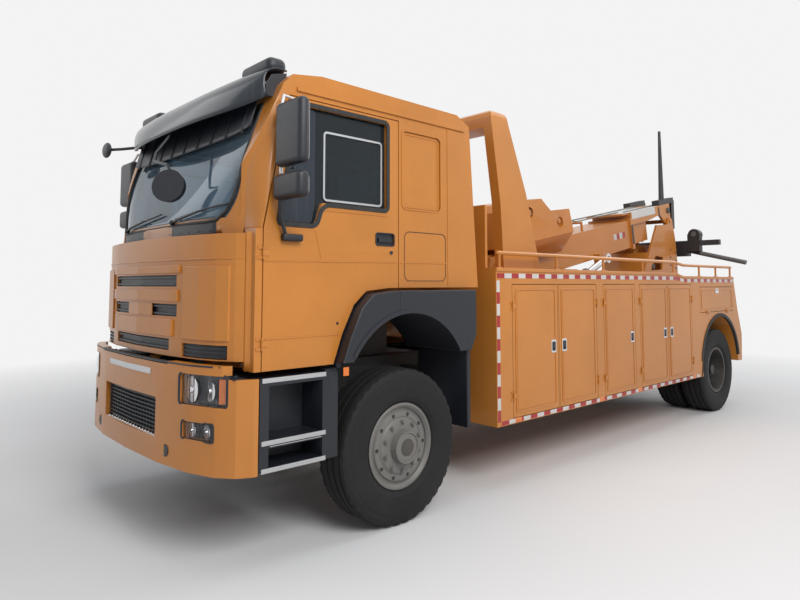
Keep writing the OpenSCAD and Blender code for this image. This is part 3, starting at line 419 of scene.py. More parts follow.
for side, s in SIDES:
    twins = [(x, REAR_Y, TYRE_R) for x in (REAR_X, REAR_X - TWIN)]
    for where, centres in (("front", [FRONT]), ("rear", twins)):
        bm = bmesh.new()
        for c in centres:
            one = bmesh.new()
            tyre(one, c, s)
            held = bpy.data.meshes.new("ring")
            one.to_mesh(held)
            one.free()
            bm.from_mesh(held)
            bpy.data.meshes.remove(held)
        node = "front_tyre_" + side if where == "front" else "rear_tyres_" + side
        piece(bm, node + "_treaded", BODY_OF[node], "tyre", (node,), smooth=25)
    bm = bmesh.new()
    front_wheel(bm, s)
    node = "front_wheel_" + side
    piece(bm, node + "_pressed", BODY_OF[node], "hub", (node,), smooth=28)
    bm = bmesh.new()
    hub_holes(bm, s, 1.1745, 0.222, 0.0135)
    piece(bm, node + "_hand_holes", BODY_OF[node], "rubber")
    bm = bmesh.new()
    cap(bm, s, 1.238, 0.0, [(-0.02, 0.066), (0.0, 0.066), (0.006, 0.060), (0.009, 0.045), (0.010, 0.001)])
    piece(bm, node + "_cap", BODY_OF[node], "dark_wheel")
    node = "rear_wheels_" + side
    softened(node, 0.003, "dark_wheel", smooth=30)
    bm = bmesh.new()
    for k in range(10):
        a = 2 * math.pi * (k + 0.5) / 10
        y, z = REAR_Y + 0.150 * math.cos(a), TYRE_R + 0.150 * math.sin(a)
        rod(bm, (s * 0.885, y, z), (s * 0.925, y, z), 0.0165, 0.015, 6)
    cap(bm, s, 1.02, REAR_Y, [(-0.02, 0.105), (0.0, 0.105), (0.012, 0.094), (0.018, 0.060), (0.020, 0.001)])
    piece(bm, node + "_nuts", BODY_OF[node], "hub")

# ---- frames and running gear ----

for node in ("chassis_frame", "engine", "front_axle", "rear_axle", "air_tanks", "deck", "boom_pedestal",
             "lift_cylinder_barrels", "lift_cylinder_rods", "mast_carriage", "tilt_cylinder_rod", "tow_arm",
             "tow_arm_slide", "steering_knuckle_left", "steering_knuckle_right", "dashboard"):
    softened(node, 0.003, "dash" if node == "dashboard" else None)
for node, edge in (("cab_shell", 0.016), ("bumper", 0.012), ("wheel_arches", 0.012), ("cab_steps", 0.010),
                   ("side_locker_left", 0.004), ("side_locker_right", 0.004), ("gantry", 0.006),
                   ("boom_base", 0.006), ("boom_extension", 0.005), ("mast_column", 0.003), ("hook_block", 0.006),
                   ("crossbar", 0.010), ("drop_hatch_left", 0.003), ("drop_hatch_right", 0.003),
                   ("cab_door_left", 0.006), ("cab_door_right", 0.006), ("front_flap", 0.008)):
    o = softened(node, edge)
    if node == "bumper":
        for v in o.data.vertices:
            v.co.y += 0.006
for side, s in SIDES:
    for i in range(1, 6):
        softened("locker_door_%s_%d" % (side, i), 0.003)

# ---- cab ----

for node in ("door_glass_left", "door_glass_right"):
    frame["nodes"][node].data.materials.clear()
    frame["nodes"][node].data.materials.append(M["window"])

for side, s in SIDES:
    body, name = BODY_OF["cab_door_" + side], "cab_door_" + side
    face = side_wall(s, CAB_X)
    bm = bmesh.new()
    border(bm, [(-1.045, 2.050), (-0.725, 2.050), (-0.675, 2.198), (-0.096, 2.198), (-0.096, 2.874),
        (-0.893, 2.874)], face, 0.030, 0.006, 0.05)
    piece(bm, name + "_window_seal", body, "rubber", edge=0.002)
    bm = bmesh.new()
    border(bm, rect(-0.670, -0.150, 2.240, 2.712), face, 0.014, 0.010, 0.03, -0.030)
    piece(bm, name + "_slider_frame", body, "aluminium")
    bm = bmesh.new()
    sheet(bm, [(-1.000, 2.085), (-0.760, 2.085), (-0.735, 2.225), (-0.735, 2.835), (-0.868, 2.835)], face,
        0.004, 0.02, -0.028)
    piece(bm, name + "_quarter_pane", body, "visor")
    # Pressed lines across the door
    bm = bmesh.new()
    sheet(bm, [(-1.112, 1.826), (-0.020, 1.842), (-0.020, 1.850), (-1.112, 1.834)], face, 0.004)
    sheet(bm, [(-1.112, 1.352), (-0.540, 1.352), (-0.535, 1.362), (-1.112, 1.362)], face, 0.004)
    sheet(bm, [(-0.700, 2.172), (-0.110, 2.172), (-0.110, 2.182), (-0.700, 2.182)], face, 0.004)
    sheet(bm, [(-0.745, 2.035), (-0.735, 2.035), (-0.690, 1.860), (-0.700, 1.860)], face, 0.003)
    piece(bm, name + "_pressed_lines", body, "orange", edge=0.0015)
    bm = bmesh.new()
    sheet(bm, rect(-0.222, -0.053, 1.967, 2.048), face, 0.002, 0.018, -0.012)
    border(bm, rect(-0.230, -0.045, 1.959, 2.056), face, 0.010, 0.004, 0.022)
    box(bm, s * 1.150, s * 1.163, -0.200, -0.075, 1.988, 2.018)
    rod(bm, (s * 1.158, -0.080, 1.915), (s * 1.168, -0.080, 1.915), 0.013)
    rod(bm, (s * 1.158, -0.560, 1.430), (s * 1.162, -0.560, 1.430), 0.010)
    piece(bm, name + "_handle", body, "black_plastic", edge=0.002)
    # Mirrors
    node = "mirrors_" + side
    bm = bmesh.new()
    for x0, x1, y0, y1, z0, z1, r in ((1.200, 1.490, -1.090, -1.012, 2.402, 2.800, 0.036),
                                      (1.182, 1.480, -1.090, -1.004, 2.202, 2.358, 0.032)):
        rounded(bm, box(bm, s * x0, s * x1, y0, y1, z0, z1), r, 5)
    tube(bm, [(s * 1.345, -1.045, 2.380), (s * 1.345, -1.045, 2.395)], 0.014)
    tube(bm, [(s * 1.225, -1.055, 2.210), (s * 1.205, -1.040, 2.120), (s * 1.186, -0.985, 1.990)], 0.012)
    rounded(bm, box(bm, s * 1.160, s * 1.204, -1.008, -0.862, 1.957, 2.003), 0.012, 3)
    piece(bm, node + "_housings", body, "black_plastic", (node,), smooth=40)
    bm = bmesh.new()
    tube(bm, [(s * 1.240, -1.060, 2.790), (s * RAIL_X, -1.030, 2.862), (s * 1.168, -0.905, 2.868)], 0.010)
    tube(bm, [(s * 1.225, -1.050, 2.365), (s * 1.225, -1.050, 2.405)], 0.012)
    piece(bm, node + "_tubes", body, "aluminium", smooth=50)
    bm = bmesh.new()
    back = lambda u, v, w: Vector((u, -1.012 + w + AXLE, v))
    sheet(bm, rect(s * 1.222, s * 1.468, 2.424, 2.778), back, 0.002, 0.02)
    sheet(bm, rect(s * 1.204, s * 1.458, 2.222, 2.338), lambda u, v, w: back(u, v, w + 0.008), 0.002, 0.02)
    piece(bm, node + "_glass", body, "mirror")

# Rear side panels, hatch outlines, roof and gutter lines
bm = bmesh.new()
for side, s in SIDES:
    face = side_wall(s, CAB_X)
    border(bm, rect(0.022, 0.452, 2.238, 2.842), face, 0.013, 0.005, 0.05)
    border(bm, rect(0.040, 0.435, 2.256, 2.824), side_wall(s, 1.148), 0.018, 0.004, 0.04)
    border(bm, rect(0.045, 0.505, 1.705, 2.085), face, 0.006, 0.002, 0.05)
    sheet(bm, [(0.520, 1.68), (0.528, 1.68), (0.528, 2.93), (0.520, 2.93)], face, 0.004)
    sheet(bm, [(0.010, 1.842), (0.520, 1.846), (0.520, 1.854), (0.010, 1.850)], face, 0.004)
piece(bm, "cab_side_pressings", "cab", "orange", edge=0.002)
# Thin black strips just inside each hatch outline: painted shadow standing in for the shade in the hatch grooves
bm = bmesh.new()
for side, s in SIDES:
    border(bm, rect(0.052, 0.498, 1.712, 2.078), side_wall(s, CAB_X), 0.004, 0.0025, 0.05)
piece(bm, "cab_hatch_groove_shadows", "cab", "rubber")

# Windscreen, its rubber, the pillars' skins, cowl and wipers
NOSE = [(0, -1.432), (0.5, -1.405), (0.8, -1.358), (0.95, -1.312), (1.05, -1.25), (1.12, -1.18), (1.16, -1.11)]
BOW = [(0, -1.494), (0.5, -1.480), (0.85, -1.434), (1.05, -1.364), (1.15, -1.284), (1.2, -1.194)]


def bowed(line, x):
    x = abs(x)
    for (x0, y0), (x1, y1) in zip(line, line[1:]):
        if x <= x1:
            return y0 + (y1 - y0) * (x - x0) / (x1 - x0)
    return line[-1][1]


def screen(x, z):
    """Where the cab's front stands at x across and z up."""
    flat = -1.330 + max(0.0, z - 2.060) * 0.330 / 0.900
    nose = -1.330 + 0.148 * abs(x / 0.985) ** 3.2
    near = max(flat, nose)
    return near + 0.018 * math.exp(-abs(flat - nose) / 0.03)


def skin(bm, across, up, place):
    """A fine sheet of across by up cells, laid where place says."""
    grid = bmesh.ops.create_grid(bm, x_segments=across, y_segments=up, size=0.5)["verts"]
    for v in grid:
        v.co = Vector(place(v.co.x + 0.5, v.co.y + 0.5)) + Vector((0, AXLE, 0))


def walled(o, thickness, offset=-1.0):
    m = o.modifiers.new("wall", "SOLIDIFY")
    m.thickness, m.offset = thickness, offset
    return o


def over_screen(half, z0, rise, proud, swell=0.0, top=9.0, lean=0.0):
    """Places a sheet over the screen: half its width, its foot, its height and how far it stands proud."""
    def place(u, v):
        x, z = (2 * u - 1) * half, z0 + rise * v
        y = screen(x, min(z, top)) - proud - lean * v
        return x, y, z + swell * (2 * u - 1) ** 6 * (1 - v)
    return place


bm = bmesh.new()
skin(bm, 48, 20, over_screen(0.99, 2.095, 0.765, -0.012))
walled(piece(bm, "windscreen_pane", "cab", "screen", ("windscreen",), smooth=60), 0.006, 1.0)
bm = bmesh.new()
skin(bm, 48, 4, over_screen(0.985, 2.680, 0.175, -0.004, -0.035))
walled(piece(bm, "windscreen_shade_band", "cab", "rubber", smooth=60), 0.003, 1.0)


def door_edge(z):
    return -1.125 + max(0.0, z - 2.03) * 0.180 / 0.860


def pillar(s):
    def place(u, v):
        z = 2.012 + 0.945 * v
        x0 = 0.972 - 0.205 * max(0.0, (2.36 - z) / 0.35) ** 2.2 + 0.015 * v
        y1 = door_edge(min(z, 2.89)) - 0.010
        if u < 0.35:
            x = x0 + (1.010 - x0) * u / 0.35
            return s * x, screen(x, z) - 0.004, z
        t = (u - 0.35) / 0.65
        ya = screen(1.010, z) - 0.004
        yb = min(ya + 0.030, y1 - 0.03)
        a, b, c = (1 - t) ** 2, 2 * t * (1 - t), t * t
        return s * (a * 1.010 + b * 1.150 + c * 1.1585), a * ya + b * yb + c * y1, z
    return place


for side, s in SIDES:
    bm = bmesh.new()
    skin(bm, 26, 30, pillar(s))
    walled(piece(bm, "pillar_skin_" + side, "cab", "orange", smooth=60), 0.010, -1.0)
bm = bmesh.new()
path = [(x, 2.090) for x in (-0.70, -0.35, 0.0, 0.35, 0.70)]
corner = [(0.80, 2.098), (0.875, 2.150), (0.925, 2.230), (0.965, 2.360), (0.985, 2.600), (0.988, 2.850)]
path += corner + [(x, 2.862) for x in (0.70, 0.35, 0.0, -0.35, -0.70)]
path += [(-x, z) for x, z in reversed(corner)] + [(-0.70, 2.090)]
fine = []
for (xa, za), (xb, zb) in zip(path, path[1:]):
    fine += [(xa + (xb - xa) * k / 4, za + (zb - za) * k / 4) for k in range(4)]
tube(bm, [(x, screen(x, z) - 0.002, z) for x, z in fine + fine[:1]], 0.012, 10)
piece(bm, "windscreen_rubber", "cab", "rubber", smooth=50)
bm = bmesh.new()
skin(bm, 40, 6, over_screen(0.80, 2.004, 0.090, 0.005, top=2.0))
for k in range(13):
    x = -0.72 + 0.12 * k
    box(bm, x - 0.035, x + 0.035, screen(x, 2.0) - 0.0075, screen(x, 2.0) - 0.004, 2.030, 2.034)
for x in (-0.62, 0.28):
    base = screen(x, 2.1) - 0.022
    ball(bm, (x, base, 2.112), 0.020)
    arm = [(x + 0.12, 2.13, 0.028, 0.002), (x + 0.34, 2.16, 0.030, 0)]
    tube(bm, [(x, base, 2.112)] + [(a, screen(a, z) - off, z + up) for a, z, off, up in arm], 0.009)
    blade = [(x + 0.02 + 0.1 * k, 0.012 * k, 0.010 * k) for k in range(7)]
    tube(bm, [(a, screen(a, 2.13 + up) - 0.016, 2.135 + lift) for a, up, lift in blade], 0.007)
walled(piece(bm, "cowl_and_wipers", "cab", "black_plastic", smooth=40), 0.004)
for side, s in SIDES:
    bm = bmesh.new()
    out_to = lambda u: 1.0905 + 0.0555 * u
    skin(bm, 8, 12, lambda u, v: (s * out_to(u), bowed(NOSE, out_to(u)) + 0.002, 1.168 + 0.842 * v))
    walled(piece(bm, "corner_skin_" + side, "cab", "orange", smooth=60), 0.012)
bm = bmesh.new()
for s in (1, -1):
    for k in range(7):
        x = s * (0.80 + 0.024 * k)
        fold = 0.012 * (k % 2)
        rod(bm, (x, -1.02 + fold, 2.76), (x, -1.13 + fold, 2.16), 0.014, 0.016, 8)
    for k in range(40):
        y = 0.10 + 0.0155 * k
        rod(bm, (s * 1.070, y, 2.86), (s * 1.070, y, 2.02), 0.008 + 0.003 * (k % 2), sides=6)
piece(bm, "curtains", "cab", "curtain", smooth=60)

# Sun visor, roof lamps and look-down mirrors
def visor(u, v):
    x = (2 * u - 1) * 1.087
    e = abs(2 * u - 1) ** 8
    a, b, c = (1 - v) ** 2, 2 * v * (1 - v), v * v
    bow = 0.150 * abs(2 * u - 1) ** 3
    y = a * -0.930 + b * -1.235 + c * -1.255 + bow * v
    z = a * 3.100 + b * 3.075 + c * 2.800
    return x, y + 0.035 * e * v, z - 0.035 * e * (1 - v) + 0.075 * abs(2 * u - 1) ** 6 * v


bm = bmesh.new()
skin(bm, 72, 14, visor)
walled(piece(bm, "sun_visor_shell", "cab", "visor", ("sun_visor",), smooth=50), 0.012, -1.0)
bm = bmesh.new()
skin(bm, 48, 12, over_screen(0.985, 2.665, 0.335, 0.020, 0.030, 2.95, 0.035))
for k in range(9):
    x = -0.88 + 0.22 * k
    tube(bm, [(x, screen(x, 2.67 + 0.05 * j) - 0.026 - 0.005 * j, 2.67 + 0.05 * j) for j in range(7)], 0.008, 6)
walled(piece(bm, "visor_mesh", "cab", "black_plastic", smooth=50), 0.006, 1.0)
bm = bmesh.new()
for s in (1, -1):
    # Cheek that closes the visor's end, and the lamp cover above it
    cheek = ((-0.925, 3.060), (-1.040, 3.030), (-1.080, 2.960), (-1.072, 2.885), (-1.030, 2.880),
             (-0.985, 2.930), (-0.930, 2.990))
    vs = [bm.verts.new((s * 1.070, y + AXLE, z)) for y, z in cheek]
    out = bmesh.ops.extrude_face_region(bm, geom=[bm.faces.new(vs)])
    bmesh.ops.translate(bm, vec=(s * 0.012, 0, 0), verts=verts_of(out))
    rounded(bm, box(bm, s * 0.700, s * 1.080, -1.060, -0.915, 3.050, 3.158), 0.048, 6)
piece(bm, "visor_cheeks_and_lamps", "cab", "black_plastic", edge=0.003, smooth=40)
bm = bmesh.new()
tube(bm, [(-1.060, -1.040, 2.905), (-1.180, -1.180, 2.885), (-1.290, -1.255, 2.885)], 0.013)
ball(bm, (-1.330, -1.262, 2.886), 0.072, 28, (1.22, 0.42, 0.95))
tube(bm, [(0.02, -1.235, 2.800), (0.03, -1.350, 2.640), (0.10, -1.388, 2.560), (0.22, -1.398, 2.530),
    (0.345, -1.396, 2.500), (0.392, -1.392, 2.440)], 0.011)
rod(bm, (0.430, -1.425, 2.345), (0.395, -1.385, 2.338), 0.112, 0.104, 40)
piece(bm, "front_mirror_arm", "cab", "black_plastic", smooth=40)
bm = bmesh.new()
rod(bm, (0.394, -1.384, 2.3378), (0.391, -1.381, 2.3374), 0.096, 0.096, 40)
piece(bm, "look_down_mirror_glass", "cab", "mirror")
# Light metal tubes along the visor's upper and lower edges: a painted highlight on the visor's edges
bm = bmesh.new()
tube(bm, [tuple(visor(0.04 + 0.92 * k / 24, 0.02)) for k in range(25)], 0.0065, 8)
tube(bm, [tuple(visor(0.04 + 0.92 * k / 24, 0.985)) for k in range(25)], 0.005, 8)
piece(bm, "visor_edge_highlight", "cab", "aluminium", smooth=50)

# ---- front flap and bumper ----


def bar_on(bm, line, x0, x1, z0, z1, proud, back, steps=24):
    """A bar that follows the bowed front, from x0 to x1."""
    xs = [x0 + (x1 - x0) * k / steps for k in range(steps + 1)]
    ring = [bm.verts.new((xs[0], bowed(line, xs[0]) + o + AXLE, z)) for o, z in
        ((-proud, z0), (-proud, z1), (back, z1), (back, z0))]
    f = bm.faces.new(ring)
    for a, b in zip(xs, xs[1:]):
        out = bmesh.ops.extrude_face_region(bm, geom=[f])
        vs = verts_of(out)
        f = [g for g in out["geom"] if isinstance(g, bmesh.types.BMFace)][0]
        bmesh.ops.translate(bm, vec=(b - a, bowed(line, b) - bowed(line, a), 0), verts=vs)


bm = bmesh.new()
for z0, z1, half in ((1.673, 1.749, 0.546), (1.480, 1.560, 0.555), (1.260, 1.335, 0.470)):
    for k in range(2):
        z = z0 + 0.016 + (z1 - z0 - 0.032) * k
        bar_on(bm, NOSE, -half + 0.002, half - 0.002, z - 0.006, z + 0.006, -0.006, 0.034)
    bar_on(bm, NOSE, -half + 0.001, half - 0.001, z0 + 0.001, z1 - 0.001, -0.022, 0.028)
for s in (1, -1):
    bar_on(bm, NOSE, s * 0.625, s * 1.005, 1.236, 1.314, -0.016, 0.022)
    for z in (1.250, 1.275, 1.300):
        bar_on(bm, NOSE, s * 0.630, s * 1.000, z - 0.004, z + 0.004, -0.004, 0.018)
piece(bm, "grille_slats", "flap", "black_plastic", smooth=35)
bm = bmesh.new()
bar_on(bm, NOSE, -0.215, 0.215, 1.476, 1.564, 0.004, 0.004)
bar_on(bm, NOSE, -1.084, 1.084, 1.842, 1.852, 0.006, 0.002, 40)
for z0, z1, half in ((1.578, 1.652, 0.575), (1.352, 1.462, 0.520), (1.762, 1.812, 0.590)):
    bar_on(bm, NOSE, -half, half, z0, z1, 0.014, 0.002, 24)
for s in (1, -1):
    bar_on(bm, NOSE, s * 0.630, s * 1.022, 1.345, 1.802, 0.012, 0.002, 16)
piece(bm, "flap_pressings", "flap", "orange", edge=0.007)

bumper_face = lambda u, v, w: Vector((u, bowed(BOW, u) - w + AXLE, v))
bm = bmesh.new()
for k in range(9):
    z = 0.742 + 0.026 * k
    bar_on(bm, BOW, -0.462, 0.462, z - 0.004, z + 0.004, -0.030, 0.046)
for k in range(-9, 10):
    rod(bm, (0.05 * k, -1.448, 0.724), (0.05 * k, -1.448, 0.966), 0.004, sides=8)
box(bm, -0.466, 0.466, -1.436, -1.431, 0.722, 0.968)
for s in (1, -1):
    rod(bm, (s * 0.600, bowed(BOW, 0.6) - 0.002, 0.660), (s * 0.600, -1.45, 0.660), 0.038, 0.038, 28)
    border(bm, rect(s * 0.738, s * 1.112, 0.958, 1.157), bumper_face, 0.012, 0.006, 0.03)
    border(bm, rect(s * 0.774, s * 1.046, 0.759, 0.876), bumper_face, 0.010, 0.005, 0.02)
    box(bm, s * 1.088, s * 1.150, -1.300, -1.230, 1.128, 1.136)
bar_on(bm, BOW, -1.07, 1.07, 1.196, 1.2065, 0.002, 0.03, 40)
piece(bm, "bumper_grille", "chassis", "black_plastic", smooth=35)
bm = bmesh.new()
bar_on(bm, BOW, -0.380, 0.380, 1.108, 1.146, 0.004, 0.010)
for i in range(-8, 9):
    for j in range(2):
        x, y = 0.052 * i, -1.462 + 0.034 * j
        rod(bm, (x, y, 0.7205), (x, y, 0.7275), 0.013, 0.010, 12)
sheet(bm, rect(-0.462, 0.462, 0.699, 0.7235), front_wall(-1.4705), 0.006, 0.004)
piece(bm, "bumper_step_tread", "chassis", "aluminium", edge=0.001)

# Headlamps: dark housing, chrome bowls, amber turn lamp and fog lamps behind clear covers
bm = bmesh.new()
for s in (1, -1):
    bar_on(bm, BOW, s * 0.746, s * 1.104, 0.966, 1.149, -0.052, 0.070, 12)
    bar_on(bm, BOW, s * 0.781, s * 1.039, 0.766, 0.869, -0.052, 0.070, 12)
piece(bm, "headlamp_housings", "chassis", "visor", ("headlamps",), smooth=35)
bm = bmesh.new()
for s in (1, -1):
    for x, z, r in ((0.845, 1.058, 0.074), (0.985, 1.058, 0.058), (0.855, 0.818, 0.042), (0.965, 0.818, 0.042)):
        y = bowed(BOW, x)
        for k in range(5):
            back, wide = y + 0.052 - 0.006 * k, 0.085 * k
            rod(bm, (s * x, back, z), (s * x, back - 0.006, z), r * (0.62 + wide), r * (0.70 + wide), 36)
        rod(bm, (s * x, y + 0.022, z), (s * x, y + 0.012, z), r * 0.30, r * 0.24, 20)
piece(bm, "headlamp_bowls", "chassis", "chrome", smooth=40)
bm = bmesh.new()
for s in (1, -1):
    bar_on(bm, BOW, s * 1.052, s * 1.098, 0.985, 1.130, -0.020, 0.046, 6)
    box(bm, s * 1.2465, s * 1.2495, -0.575, -0.530, 1.095, 1.150)
for s in (1, -1):
    for y in (1.30, 2.68, 3.49, 4.92):
        rod(bm, (s * 1.245, y, 0.548), (s * 1.2515, y, 0.548), 0.020, 0.017, 20)
        box(bm, s * 1.2445, s * 1.249, y - 0.045, y + 0.045, 0.530, 0.566)
piece(bm, "amber_lamps", "chassis", "amber", edge=0.002)
bm = bmesh.new()
for s in (1, -1):
    bar_on(bm, BOW, s * 0.748, s * 1.102, 0.968, 1.147, -0.012, 0.015, 12)
    bar_on(bm, BOW, s * 0.783, s * 1.037, 0.768, 0.867, -0.010, 0.013, 12)
piece(bm, "headlamp_covers", "chassis", "lamp_glass", smooth=35)

# ---- side lockers, steps and arches ----

DOORS = [(1.235, 1.915, -1), (1.940, 2.608, 1), (2.754, 3.412, -1), (3.539, 4.210, -1), (4.236, 4.900, 1)]
for side, s in SIDES:
    outer = side_wall(s, BODY_X)
    for i, (y0, y1, hung) in enumerate(DOORS, 1):
        body = name = "locker_door_%s_%d" % (side, i)
        bm = bmesh.new()
        border(bm, rect(y0 + 0.035, y1 - 0.035, 0.605, 1.650), outer, 0.014, 0.006, 0.03)
        piece(bm, name + "_pressed_border", body, "orange", edge=0.002)
        y = y1 - 0.075 if hung < 0 else y0 + 0.075
        bm = bmesh.new()
        sheet(bm, rect(y - 0.038, y + 0.038, 1.070, 1.185), outer, 0.004, 0.014, 0.003)
        piece(bm, name + "_lock_plate", body, "chrome", edge=0.001)
        bm = bmesh.new()
        sheet(bm, rect(y - 0.026, y + 0.026, 1.086, 1.169), outer, 0.003, 0.010, 0.006)
        rod(bm, (s * 1.254, y, 1.100), (s * 1.260, y, 1.100), 0.009)
        piece(bm, name + "_paddle", body, "black_plastic", edge=0.001)
    body = name = "drop_hatch_" + side
    bm = bmesh.new()
    border(bm, rect(5.215, 6.255, 1.362, 1.618), outer, 0.012, 0.005, 0.03)
    piece(bm, name + "_pressed_border", body, "orange", edge=0.002)
    bm = bmesh.new()
    sheet(bm, rect(5.680, 5.790, 1.570, 1.632), outer, 0.004, 0.012, 0.001)
    piece(bm, name + "_lock_plate", body, "chrome", edge=0.001)

red, white, gap_shadows, trims, rails = (bmesh.new() for _ in range(5))



def tape(wall, y0, z0, y1, z1, wide, along):
    """Red and white blocks of about 0.1 m from one place to the other, wide up (along) or back."""
    n = max(1, round(math.hypot(y1 - y0, z1 - z0) / 0.1))
    over = (0, wide) if along else (wide, 0)
    for k in range(n):
        a, b = ((y0 + (y1 - y0) * t, z0 + (z1 - z0) * t) for t in (k / n, (k + 1) / n))
        far = [(p[0] + over[0], p[1] + over[1]) for p in (b, a)]
        pts = [a, b] + far if along else [a, far[1], far[0], b]
        sheet(white if k % 2 else red, pts, wall, 0.0012, 0, 0.0002)


for s in (1, -1):
    outer = side_wall(s, BODY_X)
    tape(outer, 1.030, 1.740, 4.500, 1.740, 0.040, True)
    tape(outer, 4.500, 1.740, 4.700, 1.715, 0.040, True)
    tape(outer, 4.700, 1.715, 6.330, 1.715, 0.040, True)
    tape(outer, 1.022, 0.560, 1.022, 1.720, 0.040, False)
    tape(outer, 1.070, 0.529, 5.090, 0.529, 0.034, True)
    # Black strips sunk in the gaps round the locker doors: painted shadow of the door gaps
    for y0, y1, hung in DOORS:
        border(gap_shadows, rect(y0 - 0.0035, y1 + 0.0035, 0.5665, 1.6885), side_wall(s, 1.238), 0.003, 0.006)
    # Folded flange along the top edge
    ledge = [(1.016, 1.796, 1.824), (4.492, 1.796, 1.824), (4.690, 1.759, 1.788), (6.346, 1.759, 1.788)]
    for (ya, za, ta), (yb, zb, tb) in zip(ledge, ledge[1:]):
        sheet(trims, [(ya, za), (yb, zb), (yb, tb), (ya, ta)], outer, 0.010)
    rail = [(s * RAIL_X, y, z) for y, z in ((1.08, 1.954), (4.52, 1.954), (4.76, 1.925), (6.34, 1.925))]
    tube(rails, rail, 0.0185)
    for end in (rail[0], rail[-1]):
        ball(rails, end, 0.0185)
    for z, ys in ((1.827, (1.10, 1.96, 2.82, 3.68, 4.48)), (1.790, (5.25, 5.80, 6.32))):
        for y in ys:
            rod(rails, (s * RAIL_X, y, z), (s * RAIL_X, y, z + 0.007), 0.030, 0.026)
# Rear lamps on the lockers' ends, with their bezels and a strip of tape below
for side, s in SIDES:
    bm, glow, clear = bmesh.new(), bmesh.new(), bmesh.new()
    box(bm, s * 0.640, s * 1.180, 6.598, 6.6045, 0.800, 0.945)
    for k in range(5):
        x = s * (0.695 + 0.1075 * k)
        into = clear if k in (1, 3) else glow
        rod(into, (x, TAIL_Y, 0.8725), (x, 6.6135, 0.8725), 0.044, 0.036, 28)
        rod(bm, (x, TAIL_Y, 0.8725), (x, 6.6085, 0.8725), 0.049, 0.046, 28)
    for k in range(8):
        x = 0.640 + 0.0725 * k
        box(red if k % 2 else white, s * x, s * (x + 0.069), TAIL_Y, 6.6058, 0.700, 0.745)
    piece(bm, "rear_lamp_bezel_" + side, "chassis", "black_plastic", edge=0.002)
    piece(glow, "rear_lamps_" + side, "chassis", "red_lens", edge=0.002)
    piece(clear, "turn_lamps_" + side, "chassis", "amber", edge=0.002)
piece(red, "red_tape_blocks", "chassis", "red_tape", smooth=0)
piece(white, "white_tape_blocks", "chassis", "white_tape", smooth=0)
piece(gap_shadows, "locker_door_gap_shadows", "chassis", "rubber", smooth=0)
piece(trims, "locker_top_flange", "chassis", "orange", edge=0.003)
piece(rails, "locker_handrails", "chassis", "orange", smooth=40)


def arc_strip(bm, s, centre, radius, a0, a1, x0, x1, thick, steps=48):
    """A curved strip round a wheel opening, swept from angle a0 to a1 in degrees."""
    cy, cz = centre
    a = math.radians(a0)
    ring = [bm.verts.new((s * x, cy + AXLE + r * math.cos(a), cz + r * math.sin(a))) for x, r in
        ((x0, radius), (x1, radius), (x1, radius + thick), (x0, radius + thick))]
    f = bm.faces.new(ring)
    bmesh.ops.spin(bm, geom=[f], cent=(0, cy + AXLE, cz), axis=(1, 0, 0), angle=math.radians(a1 - a0),
        steps=steps, use_duplicate=False)


bm = bmesh.new()
for s in (1, -1):
    arc_strip(bm, s, (5.815, 0.645), 0.6125, 6, 174, 1.225, 1.256, 0.042, 64)
    tube(bm, [(s * 1.248, 5.2035, 0.710), (s * 1.248, 5.160, 0.530)], 0.008)
piece(bm, "rear_arch_trim", "chassis", "rubber", smooth=35)
bm = bmesh.new()
for s in (1, -1):
    arc_strip(bm, s, (0.040, 0.880), 0.6015, 30, 148, 1.244, 1.2545, 0.030, 48)
    box(bm, s * 1.2492, s * 1.2512, -0.072, -0.066, 1.490, 1.642)
piece(bm, "front_arch_lip", "chassis", "black_plastic", smooth=35)

bm = bmesh.new()
for s in (1, -1):
    for z in (1.080, 0.7175):
        for k in range(7):
            y = -1.070 + 0.055 * k
            for i in range(8):
                x = s * (0.975 + 0.029 * i)
                rod(bm, (x, y, z - 0.001), (x, y, z + 0.004), 0.009, 0.006, 10)
    for z in (1.114, 0.748, 0.588):
        box(bm, s * 1.188, s * 1.1985, -1.140, -0.675, z - 0.014, z + 0.014)
    box(bm, s * 0.965, s * 1.197, -1.082, -0.708, 0.7225, 0.7275)
piece(bm, "step_treads", "chassis", "aluminium", edge=0.002)

# ---- gantry, boom and tow gear ----

SLOPE = math.radians(10.8)     # the boom's rise at rest


def on_boom(x, u, w):
    """x across, u along the boom from its pivot and w square to it."""
    c, s = math.cos(SLOPE), math.sin(SLOPE)
    return x, BOOM_Y + u * c - w * s, BOOM_Z + u * s + w * c


def bolt_ring(bm, x0, x1, u, w, r, count, size):
    """Hexagon heads from x0 to x1 on a circle of radius r round a pin of the boom."""
    for k in range(count):
        a = 2 * math.pi * k / count
        at = u + r * math.cos(a), w + r * math.sin(a)
        rod(bm, on_boom(x0, *at), on_boom(x1, *at), size, size, 6)


def boom_box(bm, x0, x1, u0, u1, w0, w1):
    mid = on_boom((x0 + x1) / 2, (u0 + u1) / 2, (w0 + w1) / 2)
    size = Matrix.Diagonal((abs(x1 - x0), abs(u1 - u0), abs(w1 - w0), 1))
    place = Matrix.Translation((mid[0], mid[1] + AXLE, mid[2])) @ Matrix.Rotation(SLOPE, 4, "X") @ size
    bmesh.ops.create_cube(bm, size=1.0, matrix=place)


